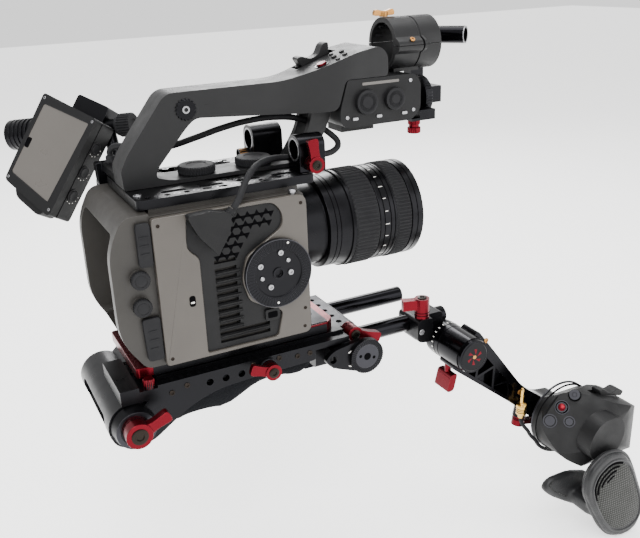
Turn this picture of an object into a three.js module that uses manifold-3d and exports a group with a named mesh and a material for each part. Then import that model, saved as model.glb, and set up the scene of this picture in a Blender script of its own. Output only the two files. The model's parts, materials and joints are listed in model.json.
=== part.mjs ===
// Shoulder-mounted cinema camera rig: camera body and lens, top handle, monitor on an arm,
// shoulder baseplate with two rods, and a hand grip on a pivoting extension arm.
//
// Working axes, in millimetres: X runs forward along the lens, Y to the camera's left, Z up.
// X = 0 is the camera's rear, Y = 0 its middle plane and Z = 0 its underside. The finished
// group is shifted so that its origin is the centre of the tripod wedge's underside.

import * as THREE from 'three';
import { mergeVertices } from 'three/addons/utils/BufferGeometryUtils.js';
import Module from 'manifold-3d';

const wasm = await Module();
wasm.setup();

// ---------------------------------------------------------------- driving dimensions
const GAP = 0.3; // running and seating clearance between separate pieces
const BODY_LENGTH = 151;
const BODY_HEIGHT = 115;
const CORE_HALF = 52; // half width of the camera's core, under its side panels
const PANEL_OUT = 57.5; // outer face of the side panels
const DECK_Z = 118; // top of the camera, under the top plate
const PLATE_TOP = 125;
const LENS_Z = 71.5; // height of the optical axis
const ROD_R = 7.5; // standard 15 mm rod
const ROD_BORE = 7.8;
const ROD_HALF = 30; // rods lie 60 mm apart
const ROD_Z = -29;
const TOP_BORE_Z = 142; // axis of the upper rod clamps
const ROSETTE = [123.7, 56.8]; // grip rosette on the right panel: x, z
const RAIL_RIGHT = -60; // outer face of the right rail
const RAIL_LEFT = 42; // outer face of the left rail
const CROSSBAR_END = -43.5; // near end of the base's front crossbar
const TUBE = [1, -39]; // rear shoulder tube axis: x, z
const TUBE_R = 18.5;
const FRONT_ROSETTE = [195, -29]; // accessory rosette on the base: x, z
const DRUM = [290, -46.5]; // extension arm pivot: x, z
const DRUM_R = 16.5;
const GRIP = [398, -138]; // grip pivot and centre of its round base: x, z
const WEDGE = [170, -9, -50]; // centre of the tripod wedge's underside
const MIC = [0, 211]; // microphone holder axis: y, z
const MIC_END = 297; // front end of the microphone holder
const CABLE_R = 2.5;
const LEAD_R = 1.8;

// Monitor pose: centre of its face, right (short) and up (long) directions of its screen.
const MONITOR_AT = new THREE.Vector3(-8, 106.4, 134.9);
const MONITOR_RIGHT = new THREE.Vector3(0.533, -0.792, -0.296).normalize();
const MONITOR_FACE = new THREE.Vector3(-0.635, -0.606, 0.479).normalize();

// ---------------------------------------------------------------- solids
const V = (x, y, z) => new THREE.Vector3(x, y, z);
const PLANES = {
  x: new THREE.Matrix4().makeBasis(V(0, 1, 0), V(0, 0, 1), V(1, 0, 0)),
  y: new THREE.Matrix4().makeBasis(V(1, 0, 0), V(0, 0, 1), V(0, -1, 0)),
  z: new THREE.Matrix4(),
};

// A closed three.js geometry as a solid, wound outwards.
function toSolid(source) {
  const geometry = source.clone();
  geometry.deleteAttribute('normal');
  geometry.deleteAttribute('uv');
  const merged = mergeVertices(geometry, 1e-4);
  const points = new Float32Array(merged.attributes.position.array);
  const triangles = new Uint32Array(merged.index.array);
  const make = () => new wasm.Manifold(
    new wasm.Mesh({ numProp: 3, vertProperties: points, triVerts: triangles }));
  const solid = make();
  if (solid.volume() > 0) return solid;
  for (let i = 0; i < triangles.length; i += 3) {
    const first = triangles[i];
    triangles[i] = triangles[i + 1];
    triangles[i + 1] = first;
  }
  return make();
}

const join = (first, ...rest) => rest.reduce((sum, part) => sum.add(part), first);
const cut = (first, ...rest) => rest.reduce((left, part) => left.subtract(part), first);
const common = (first, ...rest) => rest.reduce((left, part) => left.intersect(part), first);
const placed = (solid, matrix) => solid.transform(matrix.elements);

function block(xs, ys, zs) {
  const geometry = new THREE.BoxGeometry(xs[1] - xs[0], ys[1] - ys[0], zs[1] - zs[0]);
  geometry.translate((xs[0] + xs[1]) / 2, (ys[0] + ys[1]) / 2, (zs[0] + zs[1]) / 2);
  return toSolid(geometry);
}

// An outline of corner points [a, b, radius], each corner rounded by its radius.
function outline(corners) {
  const shape = new THREE.Shape();
  corners.forEach(([a, b, radius = 0], i) => {
    const before = corners[(i + corners.length - 1) % corners.length];
    const after = corners[(i + 1) % corners.length];
    const here = new THREE.Vector2(a, b);
    const inward = new THREE.Vector2(before[0], before[1]).sub(here);
    const onward = new THREE.Vector2(after[0], after[1]).sub(here);
    const reach = Math.min(radius, inward.length() * 0.48, onward.length() * 0.48);
    const start = here.clone().addScaledVector(inward.normalize(), reach);
    const end = here.clone().addScaledVector(onward.normalize(), reach);
    if (i === 0) shape.moveTo(start.x, start.y);
    else shape.lineTo(start.x, start.y);
    if (radius) shape.quadraticCurveTo(a, b, end.x, end.y);
  });
  shape.closePath();
  return shape;
}

// An outline pushed straight along an axis: (x, z) outlines along y, (y, z) along x, (x, y) along z.
function slab(corners, axis, low, high, curveSegments = 4) {
  const shape = Array.isArray(corners) ? outline(corners) : corners;
  const geometry = new THREE.ExtrudeGeometry(
    shape, { depth: high - low, bevelEnabled: false, curveSegments });
  geometry.translate(0, 0, axis === 'y' ? -high : low);
  geometry.applyMatrix4(PLANES[axis]);
  return toSolid(geometry);
}

// A round bar between two points, r1 at its start and r2 at its end.
function bar(from, to, r1, r2 = r1, sides = 24) {
  const start = V(...from);
  const span = V(...to).sub(start);
  const geometry = new THREE.CylinderGeometry(r2, r1, span.length(), sides);
  geometry.translate(0, span.length() / 2, 0);
  geometry.applyQuaternion(
    new THREE.Quaternion().setFromUnitVectors(V(0, 1, 0), span.clone().normalize()));
  geometry.translate(...from);
  return toSolid(geometry);
}

// A profile of [radius, x] points turned about the lens axis.
function turnedAboutLens(profile, sides = 40) {
  const geometry = new THREE.LatheGeometry(profile.map(([r, x]) => new THREE.Vector2(r, x)), sides);
  geometry.applyMatrix4(new THREE.Matrix4().makeBasis(V(0, 0, 1), V(1, 0, 0), V(0, 1, 0)));
  geometry.translate(0, 0, LENS_Z);
  return toSolid(geometry);
}

// A tube along a smooth curve through the points.
function cord(points, radius, sides, steps) {
  const path = new THREE.CatmullRomCurve3(points.map((p) => V(...p)), false, 'centripetal');
  const section = new THREE.Shape();
  for (let i = 0; i < sides; i += 1) {
    const turn = (i / sides) * 2 * Math.PI;
    const x = radius * Math.cos(turn);
    const y = radius * Math.sin(turn);
    if (i === 0) section.moveTo(x, y);
    else section.lineTo(x, y);
  }
  section.closePath();
  return toSolid(new THREE.ExtrudeGeometry(section, { steps, extrudePath: path }));
}

// A frame at a point whose local Z follows `axis` and local X leans to `lean`.
function frameAt(at, axis, lean) {
  const z = V(...axis).normalize();
  const y = z.clone().cross(V(...lean)).normalize();
  const x = y.clone().cross(z);
  return new THREE.Matrix4().makeBasis(x, y, z).setPosition(...at);
}

// ---------------------------------------------------------------- finishes and the scene graph
const FINISHES = {
  greyPanel: [0x7c7872, 0.5, 0.35],
  darkPlastic: [0x2f2f2f, 0.6, 0],
  softPlastic: [0x3a3a3a, 0.55, 0],
  rubber: [0x202022, 0.85, 0],
  blackMetal: [0x0e0e10, 0.3, 0.8],
  greyMetal: [0x4c4c4a, 0.45, 0.7],
  redMetal: [0xb0102a, 0.3, 0.8],
  brass: [0xa8763e, 0.35, 1],
  screen: [0x7f7b76, 0.4, 0],
  glass: [0x0a0d14, 0.05, 0],
  foam: [0x26282c, 0.95, 0],
  leather: [0x1e1e1f, 0.7, 0],
  gold: [0xd8b060, 0.25, 1],
};
const rig = new THREE.Group();

function piece(name, finish, solid) {
  const { vertProperties, triVerts } = solid.getMesh();
  const geometry = new THREE.BufferGeometry();
  geometry.setAttribute('position', new THREE.BufferAttribute(vertProperties, 3));
  geometry.setIndex(new THREE.BufferAttribute(triVerts, 1));
  const [color, roughness, metalness] = FINISHES[finish];
  const material = new THREE.MeshStandardMaterial({ color, roughness, metalness });
  const mesh = new THREE.Mesh(geometry, material);
  mesh.name = name;
  rig.add(mesh);
}

// ---------------------------------------------------------------- camera body
const panelOutline = [
  [31.5, 0.5, 3], [31.5, 114.5, 3], [BODY_LENGTH, 114.5, 8], [BODY_LENGTH, 0.5, 6],
];
const ventOutline = (inset) => [
  [64 + inset, 3.5 + inset, 2], [64 + inset, 80, 4], [55 + inset, 88, 6], [57 + inset, 112 - inset, 3],
  [124 - inset, 112 - inset, 8], [131 - inset, 102, 6], [130 - inset, 92, 6], [114, 82 + inset, 6],
  [100 - inset, 74, 4], [95 - inset, 56, 6], [100 - inset, 38, 4], [115, 29 - inset, 4],
  [127 - inset, 24, 4], [122 - inset, 3.5 + inset, 3],
];

piece('camera_body', 'darkPlastic', cut(
  join(
    slab([
      [18, 0, 6], [1, 26, 18], [1, 94, 20], [13, 117, 8], [32, 117, 2], [32, BODY_HEIGHT, 0],
      [BODY_LENGTH, BODY_HEIGHT, 4], [BODY_LENGTH, 0, 4],
    ], 'y', -CORE_HALF, CORE_HALF, 6),
    block([34, 150], [-44, 44], [BODY_HEIGHT - 1, DECK_Z]),
    bar([BODY_LENGTH - 1, 0, LENS_Z], [154, 0, LENS_Z], 36.5, 36.5, 40),
    slab(panelOutline, 'y', CORE_HALF - 1, PANEL_OUT),
    ...[[19.8, 71.5], [19, 50.7]].map(([x, z]) => bar([x, -50, z], [x, -58.5, z], 7, 6.2, 20)),
  ),
  slab([[-44, 12, 6], [-44, 104, 6], [44, 104, 6], [44, 12, 6]], 'x', -5, 27),
));

piece('right_side_panel', 'greyPanel', cut(
  slab(panelOutline, 'y', -PANEL_OUT, -CORE_HALF - GAP),
  slab(ventOutline(0), 'y', -60, -50),
));

// Vent recess: a dark backing with cooling louvres below and slots beside the rosette.
const louvres = [];
for (let i = 0; i < 11; i += 1) {
  const z = 8 + 6.4 * i;
  const end = i < 2 ? 116 : 92;
  louvres.push(block([75, end], [-60, -50], [z, z + 3]));
}
piece('vent_grille', 'darkPlastic', cut(
  slab(ventOutline(GAP), 'y', -55.5, -CORE_HALF - GAP),
  ...louvres,
));

const rosetteAt = (y) => [ROSETTE[0], y, ROSETTE[1]];
piece('grip_rosette', 'darkPlastic', cut(
  bar(rosetteAt(-PANEL_OUT - GAP), rosetteAt(-61.5), 27.5, 27, 40),
  bar(rosetteAt(-60.3), rosetteAt(-62), 19, 19, 32),
  bar(rosetteAt(-58.6), rosetteAt(-62), 3.6, 3.6, 12),
));

piece('upper_port_door', 'rubber',
  slab([[20.5, 80, 3], [20.5, 112, 3], [31, 112, 3], [31, 80, 3]], 'y', -56, -CORE_HALF - GAP));
piece('lower_port_door', 'rubber',
  slab([[19, 7, 3], [17.5, 41, 3], [31, 41, 3], [31, 7, 3]], 'y', -56, -CORE_HALF - GAP));
piece('media_door', 'darkPlastic',
  slab([[42, 14, 4], [42, 66, 4], [92, 66, 4], [92, 14, 4]], 'y', PANEL_OUT + GAP, 60.5));

// ---------------------------------------------------------------- lens
const RING_SEAT = 37;
piece('lens_barrel', 'blackMetal', turnedAboutLens([
  [0, 154.3], [35, 154.3], [35, 179.5], [39, 180.5], [39, 193], [41, 203.7], [RING_SEAT, 203.7],
  [RING_SEAT, 226.3], [41, 226.3], [41, 242.7], [RING_SEAT, 242.7], [RING_SEAT, 257.3],
  [41.5, 257.3], [41.5, 268], [36, 268], [32.3, 261], [32.3, 254], [0, 254],
]));
for (const [name, from, to] of [['zoom_ring', 204, 226], ['focus_ring', 243, 257]]) {
  piece(name, 'rubber', turnedAboutLens([
    [RING_SEAT + GAP, from], [41.7, from], [41.7, to], [RING_SEAT + GAP, to], [RING_SEAT + GAP, from],
  ]));
}
piece('front_glass', 'glass', turnedAboutLens([
  [0, 254.3], [32, 254.3], [32, 256.3], [24, 258.8], [12, 260.4], [0, 261],
]));

// ---------------------------------------------------------------- top plate and upper rod clamps
const plateHoles = [];
for (const side of [-38.5, 38.5]) {
  for (let i = 0; i < 8; i += 1) {
    const x = 36 + i * 14.5;
    plateHoles.push(bar([x, side, 115], [x, side, 130], 2.4, 2.4, 8));
  }
}
piece('top_plate', 'blackMetal', cut(
  slab([[26, -45, 4], [165, -45, 4], [165, 45, 4], [26, 45, 4]], 'z', DECK_Z + GAP, PLATE_TOP),
  ...plateHoles,
));

const topClamp = (y, x0, length) => cut(
  slab([
    [y - 10.5, PLATE_TOP + GAP, 0], [y - 10.5, 149, 8], [y - 4, 153.5, 6], [y + 4, 153.5, 6],
    [y + 10.5, 149, 8], [y + 10.5, PLATE_TOP + GAP, 0],
  ], 'x', x0, x0 + length),
  bar([x0 - 5, y, TOP_BORE_Z], [x0 + length + 5, y, TOP_BORE_Z], ROD_BORE, ROD_BORE, 20),
);
piece('rod_clamp_right', 'blackMetal', topClamp(-ROD_HALF, 155, 22));
piece('rod_clamp_left', 'blackMetal', join(
  topClamp(ROD_HALF, 142, 26),
  bar([132, ROD_HALF, 130.6], [143, ROD_HALF, 130.6], 4.4, 4.4, 16),
));

// ---------------------------------------------------------------- clamping levers
// Barrel along local Z from the seat; arm along local X at the barrel's outer end.
function lever(name, at, axis, lean, { radius = 7, height = 13, reach = 23 } = {}) {
  const barrel = bar([0, 0, 0], [0, 0, height], radius, radius, 20);
  const arm = slab([
    [-2, -radius + 1.5, 3], [reach * 0.45, -3.4, 4], [reach, -4.6, 2.5],
    [reach, 4.6, 2.5], [reach * 0.45, 3.4, 4], [-2, radius - 1.5, 3],
  ], 'z', height * 0.45, height - 0.8, 2);
  piece(name, 'redMetal', placed(join(barrel, arm), frameAt(at, axis, lean)));
}

lever('rod_clamp_lever', [165, -40.5 - GAP, 132.2], [0, -1, 0], [-0.12, 0, 1],
  { radius: 6.4, height: 9, reach: 20 });
lever('rear_lever', [0, -67.4 - GAP, TUBE[1] + 3], [0, -1, 0], [1, 0, 0.42],
  { radius: 10, height: 14, reach: 26 });
lever('side_lever', [109, -65.3 - GAP, -18], [0, -1, 0], [-1, 0, 0.35],
  { radius: 6.6, height: 9, reach: 19 });
lever('front_lever', [190.5, CROSSBAR_END - GAP, -12.5], [0, -1, 0], [1, 0, -0.38],
  { radius: 6.5, height: 14, reach: 26 });
lever('arm_clamp_lever', [265.5, -43.6, -20 + GAP], [0, 0, 1], [-1, 0.35, 0],
  { radius: 6.6, height: 18, reach: 18 });
lever('wrist_lever', [361.9, -68, -137.6], [-0.2, 0, -1], [1, 0, -0.2],
  { radius: 6, height: 9, reach: 19 });

// ---------------------------------------------------------------- handle
const handleSide = [
  [26, PLATE_TOP + GAP, 1], [25, 140, 3], [31, 151, 4], [63, 192, 7], [80, 192, 4], [156, 192, 20],
  [178, 197, 20], [214, 209.5, 8], [236, 213, 6], [243, 206, 8], [243, 189.5, 4], [205, 189.5, 4],
  [198, 166, 6], [170, 166, 10], [100, 171, 20], [84, 172, 6], [76, 165, 6], [53, 139, 8],
  [50, 132, 6], [62, 128.2, 8], [176, 128.2, 1], [176, PLATE_TOP + GAP, 0],
];
const handleTop = [
  [20, -13.5, 4], [166, -14.5, 20], [200, -26, 14], [250, -26, 8], [250, 26, 8], [200, 26, 14],
  [166, 14.5, 20], [20, 13.5, 4],
];
const frontLeg = (side) => slab([
  [168, 127.5, 2], [161, 127.5, 2], [176, 150, 10], [181, 168, 2], [199, 168, 2], [192, 150, 10],
  [176, 127.5, 2],
], 'y', side * 10.5 - 2.5, side * 10.5 + 2.5);

// Controls on the pod: the pod's top slopes up by about 19 degrees between x = 178 and 214.
const podUp = [-0.327, 0, 0.945];
const podForward = [0.945, 0, 0.327];
const onPod = (x, y, lift) => {
  const along = (x - 178) / 0.945;
  return [
    178 + along * 0.945 + podUp[0] * lift, y, 197 + along * 0.327 + podUp[2] * lift,
  ];
};
const rockerFrame = frameAt(onPod(194, 12, -0.4), podUp, podForward);
piece('handle', 'softPlastic', cut(
  join(
    common(slab(handleSide, 'y', -26, 26, 6), slab(handleTop, 'z', 120, 220, 6)),
    frontLeg(-1),
    frontLeg(1),
  ),
  placed(block([-17, 20], [-6, 6], [-3.4, 8]), rockerFrame),
  bar(onPod(190, -14, -3.6), onPod(190, -14, 3), 4.5, 4.5, 16),
));

for (const [name, x] of [['rear_thumb_knob', 86], ['front_thumb_knob', 133]]) {
  piece(name, 'rubber', bar([x, 0, 128.5], [x, 0, 134.7], 14.5, 14, 32));
}

piece('zoom_rocker', 'softPlastic', placed(
  slab([
    [-12, 0, 0], [-14, 8, 2], [-9, 8, 2], [-3, 3, 3], [5, 3, 3], [11, 9.5, 3], [17, 9.5, 3], [14, 0, 0],
  ], 'y', -5, 5, 3),
  rockerFrame,
));
piece('handle_record_button', 'redMetal', bar(onPod(190, -14, -1.8), onPod(190, -14, 2), 4, 4, 16));

// ---------------------------------------------------------------- audio box and microphone holder
piece('audio_box', 'darkPlastic', join(
  slab([
    [199, 156, 5], [199, 165.6, 1], [206, 189, 2], [268, 189, 4], [274, 182, 4], [274, 160, 4],
    [266, 152, 4], [204, 152, 4],
  ], 'y', -26, 26, 3),
  block([207, 237], [-12, 12], [146, 153]),
  ...[[222, 10.4], [248, 9.6]].map(([x, r]) => bar([x, -25, 171], [x, -29.5, 171], r, r - 0.8, 28)),
));

const [micY, micZ] = MIC;
const micRing = (outer, inner) => cut(
  bar([253, micY, micZ], [MIC_END, micY, micZ], outer, outer, 36),
  bar([250, micY, micZ], [MIC_END + 3, micY, micZ], inner, inner, 32),
);
const above = block([240, 320], [-40, 40], [micZ + 0.15, 260]);
const below = block([240, 320], [-40, 40], [160, micZ - 0.15]);
const micWing = slab([[0, micZ - 18, 3], [-27, micZ - 3, 3], [-27, micZ + 3, 3], [0, micZ + 18, 3]],
  'x', 253, 280);
const micSleeve = cut(
  join(micRing(21.5, 17.5), cut(micWing, bar([250, micY, micZ], [MIC_END + 3, micY, micZ], 19, 19, 32))),
  block([276, 277.6], [-40, 40], [160, 250]),
);
const micHolder = join(micSleeve, micRing(20.6, 17.5));
piece('mic_holder_lower', 'softPlastic', join(
  common(micHolder, below),
  cut(block([258, 282], [-10, 10], [189.3, 193]),
    bar([250, micY, micZ], [MIC_END + 3, micY, micZ], 18, 18, 32)),
));
piece('mic_holder_cap', 'softPlastic', common(micHolder, above));
piece('mic_thumbscrew', 'brass', join(
  bar([257, 4, micZ + 21.5], [257, 4, micZ + 25], 3.6, 3.6, 12),
  slab([[247, micZ + 22.4, 2], [248, micZ + 28, 3], [257, micZ + 25.5, 3], [266, micZ + 28, 3],
    [267, micZ + 22.4, 2]], 'y', 2.4, 5.6, 2),
));

// Front accessory bracket: a round flange on the audio box, a post behind the microphone holder
// and a clamp head that carries a short rod pointing forward and to the right.
const ROD_DIRECTION = V(0.602, -0.799, 0).normalize();
const ROD_TIP = V(337, 0, 213);
const onRod = (back) => ROD_TIP.clone().addScaledVector(ROD_DIRECTION, -back).toArray();
const FLANGE = [0, 166]; // y, z
piece('front_accessory_bracket', 'blackMetal', cut(
  join(
    bar([286, ...FLANGE], [292.5, ...FLANGE], 17, 17, 32),
    block([274.3, 287], [-8, 8], [158, 174]),
    block([267, 290], [-24, -11], [149.6, 151.6]),
    block([275, 290], [-24, -6], [149.6, 158]),
    block([287, 314], [2, 42], [158, 172]),
    block([301, 314], [30, 42], [158, 206]),
    bar(onRod(50), onRod(38), 11, 11, 28),
  ),
  bar(onRod(60), onRod(30), ROD_BORE, ROD_BORE, 20),
));
piece('handle_rod', 'blackMetal', cut(
  bar(onRod(54), onRod(0), ROD_R, ROD_R, 20),
  bar(onRod(12), onRod(-5), 6, 6, 16),
));
piece('accessory_knob', 'redMetal', bar([273.5, -17, 138.6], [273.5, -17, 149.3], 5.6, 5.6, 20));

// ---------------------------------------------------------------- monitor and its arm
const MONITOR_UP = MONITOR_FACE.clone().cross(MONITOR_RIGHT).normalize();
const monitorFrame = new THREE.Matrix4()
  .makeBasis(MONITOR_RIGHT, MONITOR_UP, MONITOR_FACE).setPosition(MONITOR_AT);
const onMonitor = (u, v, n) => V(u, v, n).applyMatrix4(monitorFrame).toArray();
const MONITOR_DEPTH = 27;
const CROSSBAR_DEPTH = -35; // the crossbar runs this far behind the monitor's face
const CROSSBAR_R = 6;
const monitorEdge = [[-30, 46, 3], [30, 44, 3], [29, -45, 4], [-28, -34, 4]];

piece('monitor_housing', 'darkPlastic', placed(
  cut(
    join(
      slab(monitorEdge, 'z', -MONITOR_DEPTH, 0, 3),
      slab([[-22, -30, 3], [20, -40, 3], [16, -49, 5], [-14, -43, 5]], 'z', -22, -5, 3),
    ),
    slab([[-25.5, 38, 2], [25.2, 38.5, 2], [22, -35, 2], [-25.5, -26, 2]], 'z', -1.6, 5, 2),
    ...[22, 0, -21.5].map((v) => bar([25.8, v, -15.5], [32, v, -15.5], 4.9, 4.9, 16)),
  ),
  monitorFrame,
));
piece('monitor_screen', 'screen', placed(
  slab([[-25.1, 37.6, 2], [24.8, 38.1, 2], [21.6, -34.6, 2], [-25.1, -25.6, 2]], 'z', -1.2, -0.4, 2),
  monitorFrame,
));
for (const [name, v] of [['monitor_button_top', 22], ['monitor_button_middle', 0],
  ['monitor_button_bottom', -21.5]]) {
  piece(name, 'rubber', placed(bar([27.8, v, -15.5], [31, v, -15.5], 4.5, 4.2, 16), monitorFrame));
}

const barLeft = onMonitor(-62, 5.5, CROSSBAR_DEPTH);
const barRight = onMonitor(26, 49, CROSSBAR_DEPTH);
const crossbar = V(...barRight).sub(V(...barLeft));
const onCrossbar = (part) => V(...barLeft).addScaledVector(crossbar, part).toArray();
piece('monitor_tilt_block', 'blackMetal', cut(
  placed(
    slab([[-20, 24, 3], [-20, 59, 3], [15, 59, 3], [15, 24, 3]], 'z', -46, -MONITOR_DEPTH - GAP, 3),
    monitorFrame,
  ),
  bar(onCrossbar(0.2), onCrossbar(1), CROSSBAR_R + GAP, CROSSBAR_R + GAP, 24),
));
const HINGE_AT = [36, 112]; // arm hinge: x, z
piece('monitor_arm', 'blackMetal', join(
  bar(onCrossbar(0.05), onCrossbar(0.985), CROSSBAR_R, CROSSBAR_R, 20),
  bar(onCrossbar(-0.1), onCrossbar(0.16), 13.5, 12.5, 28),
  bar([HINGE_AT[0], 70.3, HINGE_AT[1]], [HINGE_AT[0], 79, HINGE_AT[1]], 13, 12, 28),
  bar([HINGE_AT[0], 78, HINGE_AT[1]], onMonitor(37, 26, -36), 5.6, 5.6, 16),
  bar(onMonitor(37.3, 23, -36), onCrossbar(0.89), 5.6, 5.6, 16),
));
piece('monitor_knob', 'rubber', bar(onCrossbar(1), onCrossbar(1.15), 10, 10, 28));

piece('monitor_bracket', 'blackMetal', join(
  block([27, 45], [17, 69], [PLATE_TOP + GAP, 132]),
  slab([
    [22, 132, 2], [50, 132, 2], [49, 112, 8], [43, 99, 8], [29, 99, 8], [23, 112, 8],
  ], 'y', 61, 70),
  bar([34, 58, 129], [34, 58, 137.5], 4.2, 3.4, 12),
));

// ---------------------------------------------------------------- quick-release plate and base
const BASE_DECK = -11;
const RISER = -8.8;
piece('quick_release_plate', 'redMetal', slab([
  [10, -48, 3], [170, -48, 3], [178, -40, 3], [178, 22, 3], [170, 30, 3], [10, 30, 3],
], 'z', RISER + GAP, -GAP));

const rearSlope = [[-8, -34, 3], [4, -31, 4], [14, -21, 6], [24, BASE_DECK, 3]];
const railSide = [
  ...rearSlope, [152, BASE_DECK, 2], [152, -24.5, 2], [92, -25.5, 6], [68, -27, 14],
  [46, -34.5, 10], [28, -46, 10], [12, -57.5, 10], [-12, -54, 16], [-18, -42, 10],
];
const rearCover = [...rearSlope, [24, -16, 2], [17, -26, 6], [6, -36, 4], [-6, -39, 2]];
const railHoles = [62, 75, 88].map((x) => bar([x, -70, -19.5], [x, 60, -19.5], 3, 3, 12));
const shoulderTube = cut(
  bar([TUBE[0], RAIL_RIGHT + 2, TUBE[1]], [TUBE[0], RAIL_LEFT - 2, TUBE[1]], TUBE_R, TUBE_R, 36),
  bar([TUBE[0], RAIL_RIGHT + 4, TUBE[1]], [TUBE[0], 50, TUBE[1]], TUBE_R - 3.5, TUBE_R - 3.5, 32),
  slab([[-46, TUBE[1] - 8, 6], [-46, TUBE[1] + 5, 6], [28, TUBE[1] + 5, 6], [28, TUBE[1] - 8, 6]],
    'x', -30, 0, 4),
);
const rodBores = [-1, 1].map((side) => bar(
  [150, side * ROD_HALF, ROD_Z], [200, side * ROD_HALF, ROD_Z], ROD_BORE, ROD_BORE, 20));
piece('base_frame', 'blackMetal', cut(
  join(
    block([22, 183], [RAIL_RIGHT, RAIL_LEFT], [-16, BASE_DECK]),
    block([24, 183], [-50, 32], [-16, RISER]),
    slab(rearCover, 'y', RAIL_RIGHT + 1, RAIL_LEFT - 1),
    block([-6, 8], [RAIL_RIGHT, -5], [-21, -9.5]),
    block([0, 26], [RAIL_RIGHT, -5], [-21, -13]),
    slab(railSide, 'y', RAIL_RIGHT, RAIL_RIGHT + 6),
    slab(railSide, 'y', RAIL_LEFT - 6, RAIL_LEFT),
    bar([109, -58, -18], [109, -65.3, -18], 7, 7, 20),
    block([178, 197], [CROSSBAR_END, 28], [-17, -9.2]),
    slab([[-47, -40, 3], [-47, -13, 1], [RAIL_LEFT, -13, 1], [RAIL_LEFT, -40, 3]], 'x', 158, 183),
    shoulderTube,
    bar([TUBE[0], RAIL_RIGHT + 1, TUBE[1]], [TUBE[0], -67.4, TUBE[1]], 17, 15, 32),
    bar([16.5, -56, -14], [16.5, -56, -5.5], 4, 4, 16),
  ),
  ...rodBores,
  ...railHoles,
));
piece('right_rod', 'blackMetal',
  bar([157.5, -ROD_HALF, ROD_Z], [297, -ROD_HALF, ROD_Z], ROD_R, ROD_R, 20));
piece('left_rod', 'blackMetal',
  bar([157.5, ROD_HALF, ROD_Z], [288, ROD_HALF, ROD_Z], ROD_R, ROD_R, 20));
piece('tripod_wedge', 'greyMetal', slab([
  [WEDGE[1] - 18, WEDGE[2], 0], [WEDGE[1] - 12, -40.3, 0], [WEDGE[1] + 12, -40.3, 0],
  [WEDGE[1] + 18, WEDGE[2], 0],
], 'x', WEDGE[0] - 13, WEDGE[0] + 13));
piece('accessory_rosette', 'blackMetal', join(
  cut(
    slab([
      [165, -18.5, 6], [195, -13.5, 14], [211, -21, 14], [211, -37, 14], [195, -45, 14],
      [165, -33.5, 6], [157, -26, 6],
    ], 'y', -66, -61),
    bar([165, -70, -26], [165, -55, -26], 3.4, 3.4, 12),
  ),
  block([167, 183], [-62, -47.3], [-36, -21]),
  bar([FRONT_ROSETTE[0], -65, FRONT_ROSETTE[1]], [FRONT_ROSETTE[0], -69, FRONT_ROSETTE[1]], 15.5, 15, 32),
));
piece('shoulder_pad', 'foam', slab([
  [30, -17.5, 4], [155, -17.5, 4], [155, -33, 8], [142, -40.5, 12], [124, -36, 12],
  [105, -37, 12], [90, -45, 10], [76, -51, 12], [55, -47, 14], [34, -51.5, 10], [25, -46, 6],
], 'y', -49, 31));

// ---------------------------------------------------------------- extension arm
const drumAt = (y) => [DRUM[0], y, DRUM[1]];
piece('arm_rod_clamp', 'blackMetal', cut(
  join(
    slab([
      [257, -40, 4], [257, -20, 4], [289, -20, 4], [289, -44, 2], [264, -44, 4],
    ], 'y', -42, -19),
    slab([[257, -40, 4], [257, -20, 4], [272.8, -20, 2], [272.8, -42, 2], [264, -42, 4]], 'y', -50.5, -41),
    bar(drumAt(-38.2), drumAt(-42), 16, 16, 32),
  ),
  bar([240, -ROD_HALF, ROD_Z], [300, -ROD_HALF, ROD_Z], ROD_BORE, ROD_BORE, 20),
));
const TRIGGER_STEM = [281.5, -62]; // x, y of the trigger's stem
piece('trigger', 'redMetal', join(
  slab([[278, -69, 2], [285, -69, 2], [281, -85, 3], [274, -85, 2]], 'y', -72, -52, 2),
  bar([TRIGGER_STEM[0], TRIGGER_STEM[1], -72], [TRIGGER_STEM[0], TRIGGER_STEM[1], -56], 3, 3, 12),
));

const truss = [[305, -49], [345, -98], [339, -106], [291, -67]]; // pocket corners: x, z
const strip = (from, to, width) => {
  const across = new THREE.Vector2(to[1] - from[1], from[0] - to[0]).setLength(width / 2);
  return slab([
    [from[0] + across.x, from[1] + across.y], [to[0] + across.x, to[1] + across.y],
    [to[0] - across.x, to[1] - across.y], [from[0] - across.x, from[1] - across.y],
  ], 'y', -90, -60);
};
const along = (from, to, part) => [
  from[0] + (to[0] - from[0]) * part, from[1] + (to[1] - from[1]) * part,
];
const TRUSS_BAYS = 5;
const ribs = [];
for (let i = 0; i < TRUSS_BAYS; i += 1) {
  const upper = along(truss[0], truss[1], (i + (i % 2)) / TRUSS_BAYS);
  const lower = along(truss[3], truss[2], (i + ((i + 1) % 2)) / TRUSS_BAYS);
  ribs.push(strip(upper, lower, 2.4));
}
piece('extension_arm', 'blackMetal', cut(
  join(
    slab([
      [301, -28, 4], [354, -98, 10], [384, -121, 8], [408, -124, 8], [408, -146, 8], [388, -148, 8],
      [372, -140, 8], [348, -117, 10], [274, -58, 4],
    ], 'y', -78, -58),
    bar([GRIP[0], -60, GRIP[1]], [GRIP[0], -82.2, GRIP[1]], 14, 14, 32),
    bar([366, -68, -118], [361.7, -68, -137.2], 6.5, 6.5, 16),
    bar(drumAt(-42.3), drumAt(-85), DRUM_R, DRUM_R, 40),
    bar(drumAt(-84), drumAt(-88), 16, 15, 36),
  ),
  cut(slab(truss.map(([x, z]) => [x, z, 3]), 'y', -80, -72, 3), ...ribs),
  bar([TRIGGER_STEM[0], TRIGGER_STEM[1], -76], [TRIGGER_STEM[0], TRIGGER_STEM[1], -50], 3.3, 3.3, 12),
));

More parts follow.
